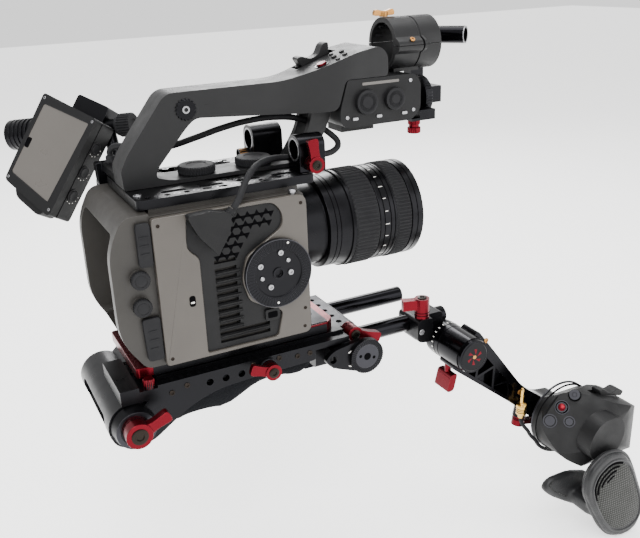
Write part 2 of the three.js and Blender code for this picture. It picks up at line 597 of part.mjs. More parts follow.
// ---------------------------------------------------------------- hand grip
const THUMB_AT = [383, -103, -116];
const THUMB_OUT = V(-0.62, -0.55, 0.56).normalize();
const THUMB_RIGHT = V(0, 0, 1).cross(THUMB_OUT).normalize();
const thumbFrame = new THREE.Matrix4().makeBasis(
  THUMB_RIGHT, THUMB_OUT.clone().cross(THUMB_RIGHT), THUMB_OUT).setPosition(...THUMB_AT);
const thumbSlice = placed(block([-60, 60], [-70, 60], [0, 60]), thumbFrame);
const thumbControls = [['grip_record_button', -1, -1, 5.2, 1.6], ['grip_dial', 9, 12, 5.6, 4]];
const thumbBores = thumbControls.map(([, a, b, radius]) => placed(
  bar([a, b, -4.6], [a, b, 8], radius + 0.4, radius + 0.4, 20), thumbFrame));
const fixedButtons = [[7, -13, 4.6], [-10, -15, 5.8]].map(([a, b, radius]) => placed(
  bar([a, b, -2], [a, b, 1], radius, radius - 0.4, 20), thumbFrame));

const gripSection = slab([
  [-80, -116, 2], [-106, -101, 8], [-125, -102, 10], [-141, -114, 10], [-141, -152, 10],
  [-126, -172, 12], [-80, -172.5, 2],
], 'x', 350, 480, 5);
const gripRockerFrame = frameAt([427, -111, -110.4], [0.32, 0, 1], [1, 0, -0.32]);
piece('grip_body', 'darkPlastic', cut(
  join(
    cut(
      common(
        common(
          slab([
            [364, -154, 12], [362, -124, 14], [376, -107, 12], [398, -103.5, 8], [414, -106.5, 10],
            [442, -115.5, 16], [463, -138, 14], [462, -158, 12], [446, -171, 12], [396, -171, 14],
          ], 'y', -141, -92.3, 5),
          slab([
            [360, -88, 6], [362, -118, 16], [392, -141, 20], [428, -141, 20], [452, -126, 14],
            [466, -108, 14], [466, -88, 6],
          ], 'z', -180, -90, 5),
        ),
        gripSection,
      ),
      thumbSlice,
    ),
    slab([[377, -146, 12], [376, -128, 12], [388, -112, 10], [412, -112, 12], [419, -130, 12],
      [411, -148, 10], [396, -156, 10]], 'y', -146, -130, 4),
    ...fixedButtons,
    common(bar([GRIP[0], -82.5, GRIP[1]], [GRIP[0], -96, GRIP[1]], 34, 34, 44), gripSection),
  ),
  ...thumbBores,
  placed(block([-18, 20], [-6.5, 6.5], [-3.4, 9]), gripRockerFrame),
));
for (const [name, a, b, radius, rise] of thumbControls) {
  piece(name, 'darkPlastic',
    placed(bar([a, b, -2.4], [a, b, rise], radius, radius - 0.4, 20), thumbFrame));
}
piece('grip_zoom_rocker', 'softPlastic', placed(
  slab([
    [-13, 0, 0], [-15, 4, 3], [-10, 6, 3], [-4, 2.5, 3], [2, 2.5, 3], [8, 7, 3], [17, 5, 3], [15, 0, 0],
  ], 'y', -5.5, 5.5, 3),
  gripRockerFrame,
));
piece('hand_strap', 'leather', join(
  slab([
    [367, -160, 8], [373, -149, 8], [389, -140, 8], [406, -143, 8], [420, -158, 12], [440, -202, 16],
    [443, -218, 14], [434, -237, 14], [416, -239, 12], [397, -229, 12], [380, -202, 16], [367, -176, 10],
  ], 'y', -157, -147),
  slab([
    [378, -173, 4], [352, -173, 6], [345, -181, 6], [353, -190, 8], [377, -207, 10], [400, -218, 6],
    [404, -200, 6], [402, -181, 6],
  ], 'y', -126, -118),
  slab([[377, -205, 4], [399, -216, 4], [403, -200, 4], [392, -190, 4], [378, -192, 4]],
    'y', -148, -124),
));

// ---------------------------------------------------------------- cables and plugs
piece('monitor_cable_plug', 'darkPlastic', join(
  slab([[55, 114.5, 3], [72, 115.5, 3], [88, 112, 4], [86, 98, 4], [76, 82, 3], [62, 99, 3]],
    'y', -66, -PANEL_OUT - GAP),
  bar([82, -62, 106], [90, -62, 113.6], 3.4, 3.2, 16),
));
piece('monitor_cable', 'rubber', cord([
  [34, 58, 137.8], [34, 58, 140.4], [36.5, 54.5, 144.6], [43, 46, 146], [56, 30, 144.5], [72, 20.5, 146.5],
  [92, 14, 152], [113, 9, 158], [134, 4, 162], [156, 1, 162.6], [174, 0, 159.5], [189, -2, 152.5],
  [200, -6.5, 144.5], [203.5, -11.5, 138], [198, -15.6, 133.5], [184, -16.4, 131.7],
  [166, -15.6, 132.2], [152, -15.4, 133.6], [144, -17.6, 134.6], [136, -21.8, 135], [126, -28.5, 134.8],
  [116, -38.5, 132.6], [108, -47, 129], [101, -54.5, 123.5], [95.5, -60, 118.6],
  [92.6, -62, 116.1], [90.5, -62, 114.1],
], CABLE_R, 8, 64));

const LEAD_WRAP_R = 36.4;
const leadPoints = [];
for (const turn of [-84, -98, -112, -126, -140, -152]) {
  const angle = (turn * Math.PI) / 180;
  leadPoints.push([
    GRIP[0] + LEAD_WRAP_R * Math.cos(angle), -88, GRIP[1] + LEAD_WRAP_R * Math.sin(angle),
  ]);
}
piece('grip_lead', 'rubber', cord([
  ...leadPoints, [359.6, -87.6, -147.5], [356.5, -87, -142], [352.6, -85.4, -136.4], [350.9, -84, -132.4],
  [350.4, -83.5, -129.5], [350.4, -83.5, -127.9],
], LEAD_R, 8, 26));
piece('lead_plug', 'gold', join(
  bar([350.4, -83.5, -127.5], [350.4, -83.5, -113], 4.8, 4.8, 20),
  bar([350.4, -83.5, -114], [350.4, -83.5, -98.5], 1.75, 1.75, 12),
  bar([350.4, -83.5, -98.6], [350.4, -83.5, -96.5], 1.75, 0.8, 12),
));

rig.position.set(-WEDGE[0], -WEDGE[1], -WEDGE[2]);
export default rig;
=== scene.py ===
"""A shoulder-mounted cinema camera rig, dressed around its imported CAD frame.

Every sub-assembly is a class with its sizes as fields. Lengths in the classes are millimetres in
the rig's working axes: X forward along the lens, Y to the camera's left, Z up, with the camera's
rear, middle plane and underside at zero. `rig_point` turns them into metres in the row's frame.
"""

import json
import logging
import math
from dataclasses import dataclass, field
from enum import Enum
from typing import Dict, List, Optional, Sequence, Tuple

import bmesh
import bpy
from mathutils import Matrix, Vector

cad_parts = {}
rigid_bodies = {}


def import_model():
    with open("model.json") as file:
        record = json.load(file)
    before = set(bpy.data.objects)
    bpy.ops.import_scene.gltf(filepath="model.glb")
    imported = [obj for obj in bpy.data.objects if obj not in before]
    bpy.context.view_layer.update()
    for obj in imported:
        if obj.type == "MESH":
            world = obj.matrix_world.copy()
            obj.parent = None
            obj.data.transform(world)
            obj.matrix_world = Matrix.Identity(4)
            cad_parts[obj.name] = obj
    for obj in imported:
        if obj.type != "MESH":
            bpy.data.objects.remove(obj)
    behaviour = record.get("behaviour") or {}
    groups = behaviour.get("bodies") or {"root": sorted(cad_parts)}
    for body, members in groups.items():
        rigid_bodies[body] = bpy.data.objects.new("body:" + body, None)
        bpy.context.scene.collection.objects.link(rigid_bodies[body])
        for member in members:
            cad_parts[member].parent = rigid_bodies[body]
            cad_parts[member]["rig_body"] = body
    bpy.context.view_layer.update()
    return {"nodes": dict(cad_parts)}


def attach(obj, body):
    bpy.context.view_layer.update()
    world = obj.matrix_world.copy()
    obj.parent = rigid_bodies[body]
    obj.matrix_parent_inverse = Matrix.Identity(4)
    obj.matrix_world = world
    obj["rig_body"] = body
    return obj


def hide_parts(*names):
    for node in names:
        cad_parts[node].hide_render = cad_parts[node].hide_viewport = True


logging.basicConfig(level=logging.INFO, format="%(name)s: %(message)s")
log = logging.getLogger("rig")

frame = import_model()

Point = Tuple[float, float, float]
MM = 0.001
ROW_ORIGIN: Point = (170.0, -9.0, -50.0)
SMOOTH_LIMIT = math.radians(32)


class Slot(Enum):
    """The record's material slots, one given with each new piece."""

    DARK = "dark_plastic"
    PANEL = "grey_panel"
    SOFT = "soft_plastic"
    RUBBER = "rubber"
    BLACK = "black_anodised"
    GREY = "grey_anodised"
    RED = "red_anodised"
    BRASS = "brass"
    SCREEN = "screen_film"
    GLASS = "lens_glass"
    FOAM = "foam"
    LEATHER = "strap_leather"
    GOLD = "gold_plug"


# ------------------------------------------------------------------ colours and shader nodes
def linear(hex_colour: str) -> Tuple[float, float, float, float]:
    """Turns an sRGB hex colour into linear RGBA.

    Args:
        hex_colour: six hex digits, such as "7c7872".

    Returns:
        Linear red, green, blue and an alpha of one.
    """
    channels = [int(hex_colour[i:i + 2], 16) / 255 for i in (0, 2, 4)]
    low, high = [c / 12.92 for c in channels], [((c + 0.055) / 1.055) ** 2.4 for c in channels]
    red, green, blue = (a if c <= 0.04045 else b for c, a, b in zip(channels, low, high))
    return (red, green, blue, 1.0)


def add_node(tree: bpy.types.NodeTree, kind: str, links: Optional[Dict[str, object]] = None,
             **settings: object) -> bpy.types.Node:
    """Adds one shader node with its settings and links.

    Args:
        tree: the material's node tree.
        kind: the node's type name without its ShaderNode prefix.
        links: input name or index to a value, or to a (node, output name) pair.
        **settings: properties set on the node itself.

    Returns:
        The new node.
    """
    node = tree.nodes.new("ShaderNode" + kind)
    for name, value in settings.items():
        setattr(node, name, value)
    for name, value in (links or {}).items():
        if isinstance(value, tuple) and isinstance(value[0], bpy.types.Node):
            tree.links.new(value[0].outputs[value[1]], node.inputs[name])
        else:
            node.inputs[name].default_value = value
    return node


def per_metre(size_mm: float) -> float:
    """Returns the texture scale whose pattern repeats about every size_mm millimetres."""
    return 1.0 / (size_mm * MM)


@dataclass(frozen=True)
class Finish:
    """A real material and its surface, as a procedural shader.

    The base colour drifts softly to a second shade over `mottle_mm`, the roughness varies with
    it, and a fine grain of `grain_mm` stands `relief` high. Sharp edges take a painted highlight.
    """

    name: str
    colour: str
    shade: str
    roughness: Tuple[float, float]
    metallic: float = 0.0
    grain_mm: float = 0.8
    relief: float = 0.06
    mottle_mm: float = 30.0
    ior: float = 1.5
    coat: float = 0.0
    sheen: float = 0.0
    # A lighter colour painted on sharp edges as a highlight, and the width of its edge mask.
    highlight_colour: Optional[str] = None
    highlight_mm: float = 0.5
    specular: float = 0.5
    glow: float = 0.0

    def surface_height(self, tree: bpy.types.NodeTree, where: Tuple) -> Tuple:
        """Returns the (node, output) that carries the grain's height."""
        grain = add_node(tree, "TexNoise", {
            "Vector": where, "Scale": per_metre(self.grain_mm), "Detail": 3.0})
        return (grain, "Fac")

    def base_colour(self, tree: bpy.types.NodeTree, where: Tuple, height: Tuple) -> Tuple:
        """Returns the (node, output) of the colour before wear.

        Args:
            tree: the material's node tree.
            where: the position output to sample patterns at.
            height: the grain's height, for finishes whose grain is also a colour.

        Returns:
            A (node, output name) pair.
        """
        mottle = add_node(tree, "TexNoise", {
            "Vector": where, "Scale": per_metre(self.mottle_mm), "Detail": 4.0})
        mixed = add_node(tree, "Mix", {
            "Factor": (mottle, "Fac"), 6: linear(self.colour), 7: linear(self.shade)},
            data_type="RGBA")
        return (mixed, 2)

    def build(self) -> bpy.types.Material:
        """Builds the material once and returns it afterwards."""
        known = bpy.data.materials.get(self.name)
        if known:
            return known
        material = bpy.data.materials.new(self.name)
        material.use_nodes = True
        tree = material.node_tree
        tree.nodes.clear()
        where = (add_node(tree, "TexCoord"), "Object")
        height = self.surface_height(tree, where)
        colour = self.base_colour(tree, where, height)
        # Sharp edges get a lighter colour as a painted highlight.
        if self.highlight_colour:
            colour = self.add_edge_highlight(tree, colour, where)
        rough = add_node(tree, "MapRange", {
            "Value": (add_node(tree, "TexNoise", {
                "Vector": where, "Scale": per_metre(self.mottle_mm * 0.4), "Detail": 5.0}), "Fac"),
            "From Min": 0.3, "From Max": 0.7,
            "To Min": self.roughness[0], "To Max": self.roughness[1]})
        bump = add_node(tree, "Bump", {
            "Height": height, "Strength": self.relief, "Distance": self.grain_mm * MM})
        shader = add_node(tree, "BsdfPrincipled", {
            "Base Color": colour, "Roughness": (rough, "Result"), "Normal": (bump, "Normal"),
            "Metallic": self.metallic, "Coat Weight": self.coat, "Sheen Weight": self.sheen,
            "Specular IOR Level": self.specular, "Emission Color": (1, 1, 1, 1),
            "Emission Strength": self.glow})
        if not self.metallic:
            shader.inputs["IOR"].default_value = self.ior
        add_node(tree, "OutputMaterial", {"Surface": (shader, "BSDF")})
        return material

    def add_edge_highlight(self, tree: bpy.types.NodeTree, colour: Tuple, where: Tuple) -> Tuple:
        """Mixes in a painted highlight where the bevelled normal leaves the true one, at edges.

        Args:
            tree: the material's node tree.
            colour: the (node, output) colour that takes the painted highlight.
            where: the position output, which breaks the painted highlight up.

        Returns:
            A (node, output) colour.
        """
        true = add_node(tree, "NewGeometry")
        soft = add_node(tree, "Bevel", {"Radius": self.highlight_mm * MM}, samples=4)
        same = add_node(tree, "VectorMath", {0: (true, "Normal"), 1: (soft, "Normal")},
                        operation="DOT_PRODUCT")
        edge = add_node(tree, "MapRange", {
            "Value": (same, "Value"), "From Min": 0.985, "From Max": 0.9,
            "To Min": 0.0, "To Max": 0.55})
        patch = add_node(tree, "TexNoise", {"Vector": where, "Scale": per_metre(9), "Detail": 4.0})
        amount = add_node(tree, "Math", {0: (edge, "Result"), 1: (patch, "Fac")},
                          operation="MULTIPLY")
        mixed = add_node(tree, "Mix", {
            "Factor": (amount, "Value"), 6: colour, 7: linear(self.highlight_colour)}, data_type="RGBA")
        return (mixed, 2)


@dataclass(frozen=True)
class CellFinish(Finish):
    """A finish whose surface is made of cells: foam pores or leather grain."""

    # A darker colour painted into the creases between cells as shade.
    crease_shade: str = "141416"

    def surface_height(self, tree: bpy.types.NodeTree, where: Tuple) -> Tuple:
        """Returns the height of rounded cells with creases between them."""
        cells = add_node(tree, "TexVoronoi", {
            "Vector": where, "Scale": per_metre(self.grain_mm)}, feature="F1")
        return (cells, "Distance")

    def base_colour(self, tree: bpy.types.NodeTree, where: Tuple, height: Tuple) -> Tuple:
        """Returns the mottled colour, with painted shade in the creases."""
        plain = super().base_colour(tree, where, height)
        # Painted shade, deepest in the creases between cells.
        depth = add_node(tree, "MapRange", {
            "Value": height, "From Min": 0.25, "From Max": 0.8, "To Min": 0.0, "To Max": 0.7})
        mixed = add_node(tree, "Mix", {
            "Factor": (depth, "Result"), 6: plain, 7: linear(self.crease_shade)}, data_type="RGBA")
        return (mixed, 2)


@dataclass(frozen=True)
class WovenFinish(Finish):
    """Cloth woven from two crossing sets of threads, `grain_mm` apart."""

    # A lighter colour painted on the raised thread crowns as a highlight.
    crown_highlight: str = "2a2b27"

    def surface_height(self, tree: bpy.types.NodeTree, where: Tuple) -> Tuple:
        """Returns the height of the crossing threads."""
        sets = [add_node(tree, "TexWave", {
            "Vector": where, "Scale": per_metre(self.grain_mm) / (2 * math.pi), "Distortion": 0.6},
            bands_direction=direction) for direction in ("X", "Z")]
        woven = add_node(tree, "Math", {0: (sets[0], "Fac"), 1: (sets[1], "Fac")},
                         operation="MULTIPLY")
        return (woven, "Value")

    def base_colour(self, tree: bpy.types.NodeTree, where: Tuple, height: Tuple) -> Tuple:
        """Returns the mottled colour with a painted highlight on the thread crowns."""
        plain = super().base_colour(tree, where, height)
        mixed = add_node(tree, "Mix", {
            "Factor": height, 6: plain, 7: linear(self.crown_highlight)}, data_type="RGBA")
        return (mixed, 2)


# Warm grey baked enamel on magnesium: satin, with a slight orange peel.
BAKED_ENAMEL = Finish("baked_grey_enamel", "423e39", "3a3632", (0.34, 0.46), 0.25, 1.1, 0.05,
                      ior=1.5, coat=0.1, highlight_colour="6d6963", specular=0.4)
# The same enamel in its darker shade, on the core casting behind the panels.
DARK_ENAMEL = Finish("baked_dark_enamel", "292724", "22201e", (0.4, 0.52), 0.2, 1.1, 0.06,
                     ior=1.5, highlight_colour="4b4844", specular=0.35)
# Spark-textured ABS: matt charcoal with a fine even grain that kills reflections.
TEXTURED_ABS = Finish("spark_textured_abs", "09090a", "0e0e0f", (0.46, 0.6), 0.0, 0.7, 0.16,
                      highlight_colour="2e2e2f", ior=1.46, specular=0.2)
# Soft-touch lacquered nylon: a little lighter and smoother, as on handles.
SOFT_NYLON = Finish("soft_touch_nylon", "0c0c0d", "111112", (0.42, 0.54), 0.0, 0.9, 0.08,
                    highlight_colour="303031", ior=1.48, specular=0.24)
# Silicone rubber: deep matt black, wiped slightly grey.
SILICONE = Finish("moulded_silicone", "0e0e10", "141416", (0.6, 0.76), 0.0, 0.6, 0.1, ior=1.41,
                  specular=0.25)
# Black anodised aluminium, bead blasted then dyed: near black with a clean metal sheen.
BLACK_ANODISED = Finish("black_anodised_aluminium", "0d0d0f", "131316", (0.26, 0.38), 0.85, 0.5,
                        0.04, highlight_colour="3c3c41")
# Hard black anodising on turned tube: glossier than the blasted plates.
GLOSS_ANODISED = Finish("gloss_black_anodised_rod", "0e0e11", "141417", (0.12, 0.2), 0.9, 0.5, 0.02)
# Grey anodised aluminium, fine-blasted: satin mid grey for the base's decks and wedge.
GREY_ANODISED = Finish("grey_anodised_aluminium", "303034", "29292d", (0.34, 0.46), 0.85, 0.5, 0.05,
                       highlight_colour="6a6a6e")
# Red anodised aluminium: a saturated dye over bright metal, so its highlights stay red.
RED_ANODISED = Finish("red_anodised_aluminium", "600916", "4a0610", (0.22, 0.34), 0.9, 0.5, 0.03,
                      highlight_colour="a8303e")
# Black oxide steel socket screws: dark brown-black with a dull sheen.
BLACK_OXIDE = Finish("black_oxide_steel", "2a2521", "1d1a18", (0.3, 0.44), 1.0, 0.4, 0.04)
# Turned bronze screws: warm yellow-brown metal.
BRONZE = Finish("turned_bronze", "a97a43", "8d6336", (0.26, 0.4), 1.0, 0.4, 0.04)
# Zinc-plated steel screws: light neutral metal.
PLATED_STEEL = Finish("zinc_plated_steel", "9a9a9c", "828285", (0.26, 0.4), 1.0, 0.4, 0.04)
# Gold-plated connector: bright warm metal.
GOLD_PLATE = Finish("gold_plated_brass", "dcb566", "c79c4c", (0.16, 0.28), 1.0, 0.4, 0.02)
# Adhesive film on a display: grey-brown, smooth and slightly glossy.
DISPLAY_FILM = Finish("display_protective_film", "4a4642", "423f3b", (0.26, 0.4), 0.0, 6.0, 0.03,
                      60.0, coat=0.2)
# Multi-coated optical glass: almost black from outside, with a hard gloss.
COATED_GLASS = Finish("coated_optical_glass", "0a0d18", "120a20", (0.03, 0.05), 0.0, 5.0, 0.0,
                      ior=1.6, coat=1.0)
# Closed-cell polyethylene foam: dry charcoal with visible pores. Real cells are about 0.5 mm;
# they are drawn at 1.6 mm so that they show.
CELL_FOAM = CellFinish("closed_cell_foam", "111215", "0d0e11", (0.86, 0.95), 0.0, 1.6, 0.35,
                       ior=1.4, crease_shade="0c0d0f", specular=0.15)
# Smooth dark leather: low pebble grain, drawn at 1.5 mm, with a soft shine.
SMOOTH_LEATHER = CellFinish("smooth_dark_leather", "0f1012", "0b0c0e", (0.42, 0.56), 0.0, 1.5, 0.1,
                            ior=1.5, sheen=0.05, crease_shade="0b0b0d",
                            specular=0.3)
# Woven nylon pack cloth: charcoal olive. Threads are 0.4 mm, drawn at 1.3 mm so that they show.
PACK_CLOTH = WovenFinish("woven_nylon_pack_cloth", "131411", "0f100e", (0.72, 0.86), 0.0, 1.3,
                         0.4, ior=1.5, sheen=0.12, specular=0.2)
# Printed or moulded light marks.
WHITE_MARK = Finish("white_printed_mark", "d8d6d0", "c6c4be", (0.5, 0.6), 0.0, 0.8, 0.02)
# The shadowed inside of a hole, slot or pocket.
HOLLOW = Finish("unlit_hollow", "040405", "060607", (0.8, 0.9), 0.0, 1.0, 0.02,
                specular=0.02)
# Pale studio paper for the floor.
STUDIO_PAPER = Finish("pale_studio_paper", "fbfbfa", "f9f9f8", (0.7, 0.8), 0.0, 4.0, 0.01, 400.0,
                      glow=0.72)


# ------------------------------------------------------------------ placing and shaping
def rig_point(point: Sequence[float]) -> Vector:
    """Returns a working-axes point in millimetres as a row-frame point in metres."""
    return Vector([(value - origin) * MM for value, origin in zip(point, ROW_ORIGIN)])


@dataclass(frozen=True)
class Seat:
    """A local frame in working axes: local Z follows `up`, local X leans to `lean`."""

    at: Point
    up: Point = (0, 0, 1)
    lean: Point = (1, 0, 0)

    def matrix(self) -> Matrix:
        """Returns the matrix from local millimetres to row-frame metres."""
        z = Vector(self.up).normalized()
        y = z.cross(Vector(self.lean)).normalized()
        turn = Matrix((y.cross(z), y, z)).transposed().to_4x4()
        return Matrix.Translation(rig_point(self.at)) @ turn @ Matrix.Scale(MM, 4)

    def point(self, a: float, b: float, c: float = 0.0) -> Point:
        """Returns a local point in working-axes millimetres."""
        row = self.matrix() @ Vector((a, b, c))
        return tuple(row[i] / MM + ROW_ORIGIN[i] for i in range(3))

    def shifted(self, a: float, b: float, c: float = 0.0) -> "Seat":
        """Returns this seat moved by a local offset."""
        return Seat(self.point(a, b, c), self.up, self.lean)


class Form:
    """Geometry of one piece, gathered in a single mesh."""

    def __init__(self) -> None:
        """Starts with an empty mesh."""
        self.bm = bmesh.new()

    def turned(self, seat: Seat, profile: Sequence[Tuple[float, float]], sides: int = 32,
               teeth: int = 0, depth: float = 0.0, loop: bool = False) -> "Form":
        """Adds a profile turned about the seat's axis.

        Args:
            seat: where the axis stands.
            profile: (radius, height) pairs; a zero radius closes the end.
            sides: facets round the turn, when there are no teeth.
            teeth: square-cut knurl teeth round the widest rows.
            depth: how deep the knurl is cut.
            loop: joins the profile's last row to its first, for an open ring.

        Returns:
            This form.
        """
        count = teeth * 4 if teeth else sides
        widest = max(radius for radius, _ in profile)
        matrix = seat.matrix()
        rows: List[List[bmesh.types.BMVert]] = []
        for radius, height in profile:
            if radius == 0:
                rows.append([self.bm.verts.new(matrix @ Vector((0, 0, height)))])
                continue
            row = []
            for i in range(count):
                cut = depth if teeth and radius > widest - depth and i % 4 > 1 else 0.0
                angle = 2 * math.pi * i / count
                local = Vector(((radius - cut) * math.cos(angle),
                                (radius - cut) * math.sin(angle), height))
                row.append(self.bm.verts.new(matrix @ local))
            rows.append(row)
        pairs = list(zip(rows, rows[1:])) + ([(rows[-1], rows[0])] if loop else [])
        for low, high in pairs:
            for i in range(count):
                j = (i + 1) % count
                corners = [low[i % len(low)], low[j % len(low)],
                           high[j % len(high)], high[i % len(high)]]
                unique = list(dict.fromkeys(corners))
                if len(unique) > 2:
                    self.bm.faces.new(unique)
        return self

    def prism(self, seat: Seat, outline: Sequence[Tuple[float, float]], low: float,
              high: float) -> "Form":
        """Adds an outline pushed along the seat's axis from low to high, and returns the form."""
        matrix = seat.matrix()
        rings = [[self.bm.verts.new(matrix @ Vector((a, b, c))) for a, b in outline]
                 for c in (low, high)]
        self.bm.faces.new(list(reversed(rings[0])))
        self.bm.faces.new(rings[1])
        count = len(outline)
        for i in range(count):
            j = (i + 1) % count
            self.bm.faces.new([rings[0][i], rings[0][j], rings[1][j], rings[1][i]])
        return self

    def tube(self, points: Sequence[Sequence[float]], radius: float, sides: int = 8,
             closed: bool = False) -> "Form":
        """Adds a round tube through working-axes points.

        Args:
            points: the centre line, in millimetres.
            radius: the tube's radius in millimetres.
            sides: facets round the tube.
            closed: joins the end to the start.

        Returns:
            This form.
        """
        line = [rig_point(point) for point in points]
        count = len(line)
        side: Optional[Vector] = None
        rings = []
        for i, centre in enumerate(line):
            after = line[(i + 1) % count] if closed or i + 1 < count else centre
            before = line[i - 1] if closed or i else centre
            ahead = (after - before).normalized()
            side = side or ahead.orthogonal()
            side = (side - ahead * side.dot(ahead)).normalized()
            other = ahead.cross(side)
            rings.append([self.bm.verts.new(centre + radius * MM * (
                side * math.cos(2 * math.pi * k / sides) + other * math.sin(2 * math.pi * k / sides)))
                for k in range(sides)])
        for first, second in list(zip(rings, rings[1:])) + ([(rings[-1], rings[0])] if closed else []):
            for k in range(sides):
                m = (k + 1) % sides
                self.bm.faces.new([first[k], first[m], second[m], second[k]])
        if not closed:
            self.bm.faces.new(list(reversed(rings[0])))
            self.bm.faces.new(rings[-1])
        return self

    def piece(self, name: str, body: str, finish: Finish, slot: Slot, bevel: float = 0.0,
              replaces: Sequence[str] = ()) -> bpy.types.Object:
        """Makes the piece: its mesh, finish, bevelled edges and body.

        Args:
            name: the piece's name.
            body: the CAD body it rides on.
            finish: its material.
            slot: the record's slot that its finish belongs to; not used.
            bevel: width of its edge bevel in millimetres, or zero.
            replaces: CAD nodes that it stands for.

        Returns:
            The new object.
        """
        bmesh.ops.recalc_face_normals(self.bm, faces=self.bm.faces)
        for face in self.bm.faces:
            face.smooth = True
        for edge in self.bm.edges:
            if len(edge.link_faces) == 2 and edge.calc_face_angle() > SMOOTH_LIMIT:
                edge.smooth = False
        mesh = bpy.data.meshes.new(name)
        self.bm.to_mesh(mesh)
        self.bm.free()
        made = bpy.data.objects.new(name, mesh)
        bpy.context.scene.collection.objects.link(made)
        made.data.materials.append(finish.build())
        if bevel:
            add_bevel(made, bevel)
        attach(made, body)
        if replaces:
            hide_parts(*replaces)
        log.info("%s rides on %s in %s", name, body, finish.name)
        return made


def add_bevel(made: bpy.types.Object, width_mm: float, segments: int = 2) -> None:
    """Adds a bevel to a piece's sharp edges, and normals weighted to its flat faces."""
    bevel = made.modifiers.new("edge_bevel", "BEVEL")
    bevel.width = width_mm * MM
    bevel.segments = segments
    bevel.limit_method = "ANGLE"
    bevel.angle_limit = SMOOTH_LIMIT
    bevel.miter_outer = "MITER_ARC"
    bevel.harden_normals = False
    weighted = made.modifiers.new("flat_normals", "WEIGHTED_NORMAL")
    weighted.keep_sharp = False
    weighted.weight = 80


def shell(node: str, finish: Finish, slot: Slot, bevel: float = 0.5) -> bpy.types.Object:
    """Rebuilds a hard CAD node with clean faces and softly broken edges.

    Args:
        node: the CAD node that it copies and stands for.
        finish: its material.
        slot: the record's slot of that finish.
        bevel: the broken edge's width in millimetres.

    Returns:
        The new object, which replaces the node.
    """
    form = Form()
    form.bm.from_mesh(frame["nodes"][node].data)
    bmesh.ops.remove_doubles(form.bm, verts=form.bm.verts, dist=0.02 * MM)
    bmesh.ops.dissolve_limit(form.bm, angle_limit=math.radians(1.5), verts=form.bm.verts,
                             edges=form.bm.edges, delimit=set())
    return form.piece(node + "_shell", frame["nodes"][node]["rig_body"], finish, slot, bevel, [node])


def dress(nodes: Dict[str, Tuple[Finish, Slot, float]]) -> None:
    """Makes a shell for each node from its finish, slot and bevel width."""
    for node, (finish, slot, bevel) in nodes.items():
        shell(node, finish, slot, bevel)


def paint(node: str, finish: Finish) -> None:
    """Gives a CAD node that stays in view its finish."""
    kept = frame["nodes"][node]
    kept.data.materials.clear()
    kept.data.materials.append(finish.build())
    log.info("%s keeps its shape in %s", node, finish.name)


def disc(radius: float, low: float, high: float, edge: float = 0.3) -> List[Tuple[float, float]]:
    """Returns the profile of a closed disc with a chamfered top edge."""
    return [(0, low), (radius, low), (radius, high - edge), (radius - edge, high), (0, high)]


def screw(radius: float, rise: float) -> List[Tuple[float, float]]:
    """Returns the profile of a socket screw's head, sunk in the middle."""
    socket = radius * 0.5
    return [(0, 0), (radius, 0), (radius, rise * 0.7), (radius * 0.9, rise), (socket, rise),
            (socket * 0.92, rise * 0.25), (0, rise * 0.2)]


def ring(outer: float, inner: float, low: float, high: float) -> List[Tuple[float, float]]:
    """Returns the closed profile of a flat ring, to be turned as a loop."""
    return [(outer, low), (outer, high), (inner, high), (inner, low)]


def polygon(radius: float, sides: int, turn: float = 0.0) -> List[Tuple[float, float]]:
    """Returns a regular outline with its first corner turned by `turn` degrees."""
    return [(radius * math.cos(math.radians(turn) + 2 * math.pi * i / sides),
             radius * math.sin(math.radians(turn) + 2 * math.pi * i / sides)) for i in range(sides)]


def rounded(width: float, height: float, radius: float, steps: int = 4) -> List[Tuple[float, float]]:
    """Returns a rounded rectangle's outline, centred on zero."""
    corners = [(width / 2 - radius, height / 2 - radius, 0), (radius - width / 2, height / 2 - radius, 90),
               (radius - width / 2, radius - height / 2, 180), (width / 2 - radius, radius - height / 2, 270)]
    return [(x + radius * math.cos(math.radians(start + 90 * k / steps)),
             y + radius * math.sin(math.radians(start + 90 * k / steps)))
            for x, y, start in corners for k in range(steps + 1)]


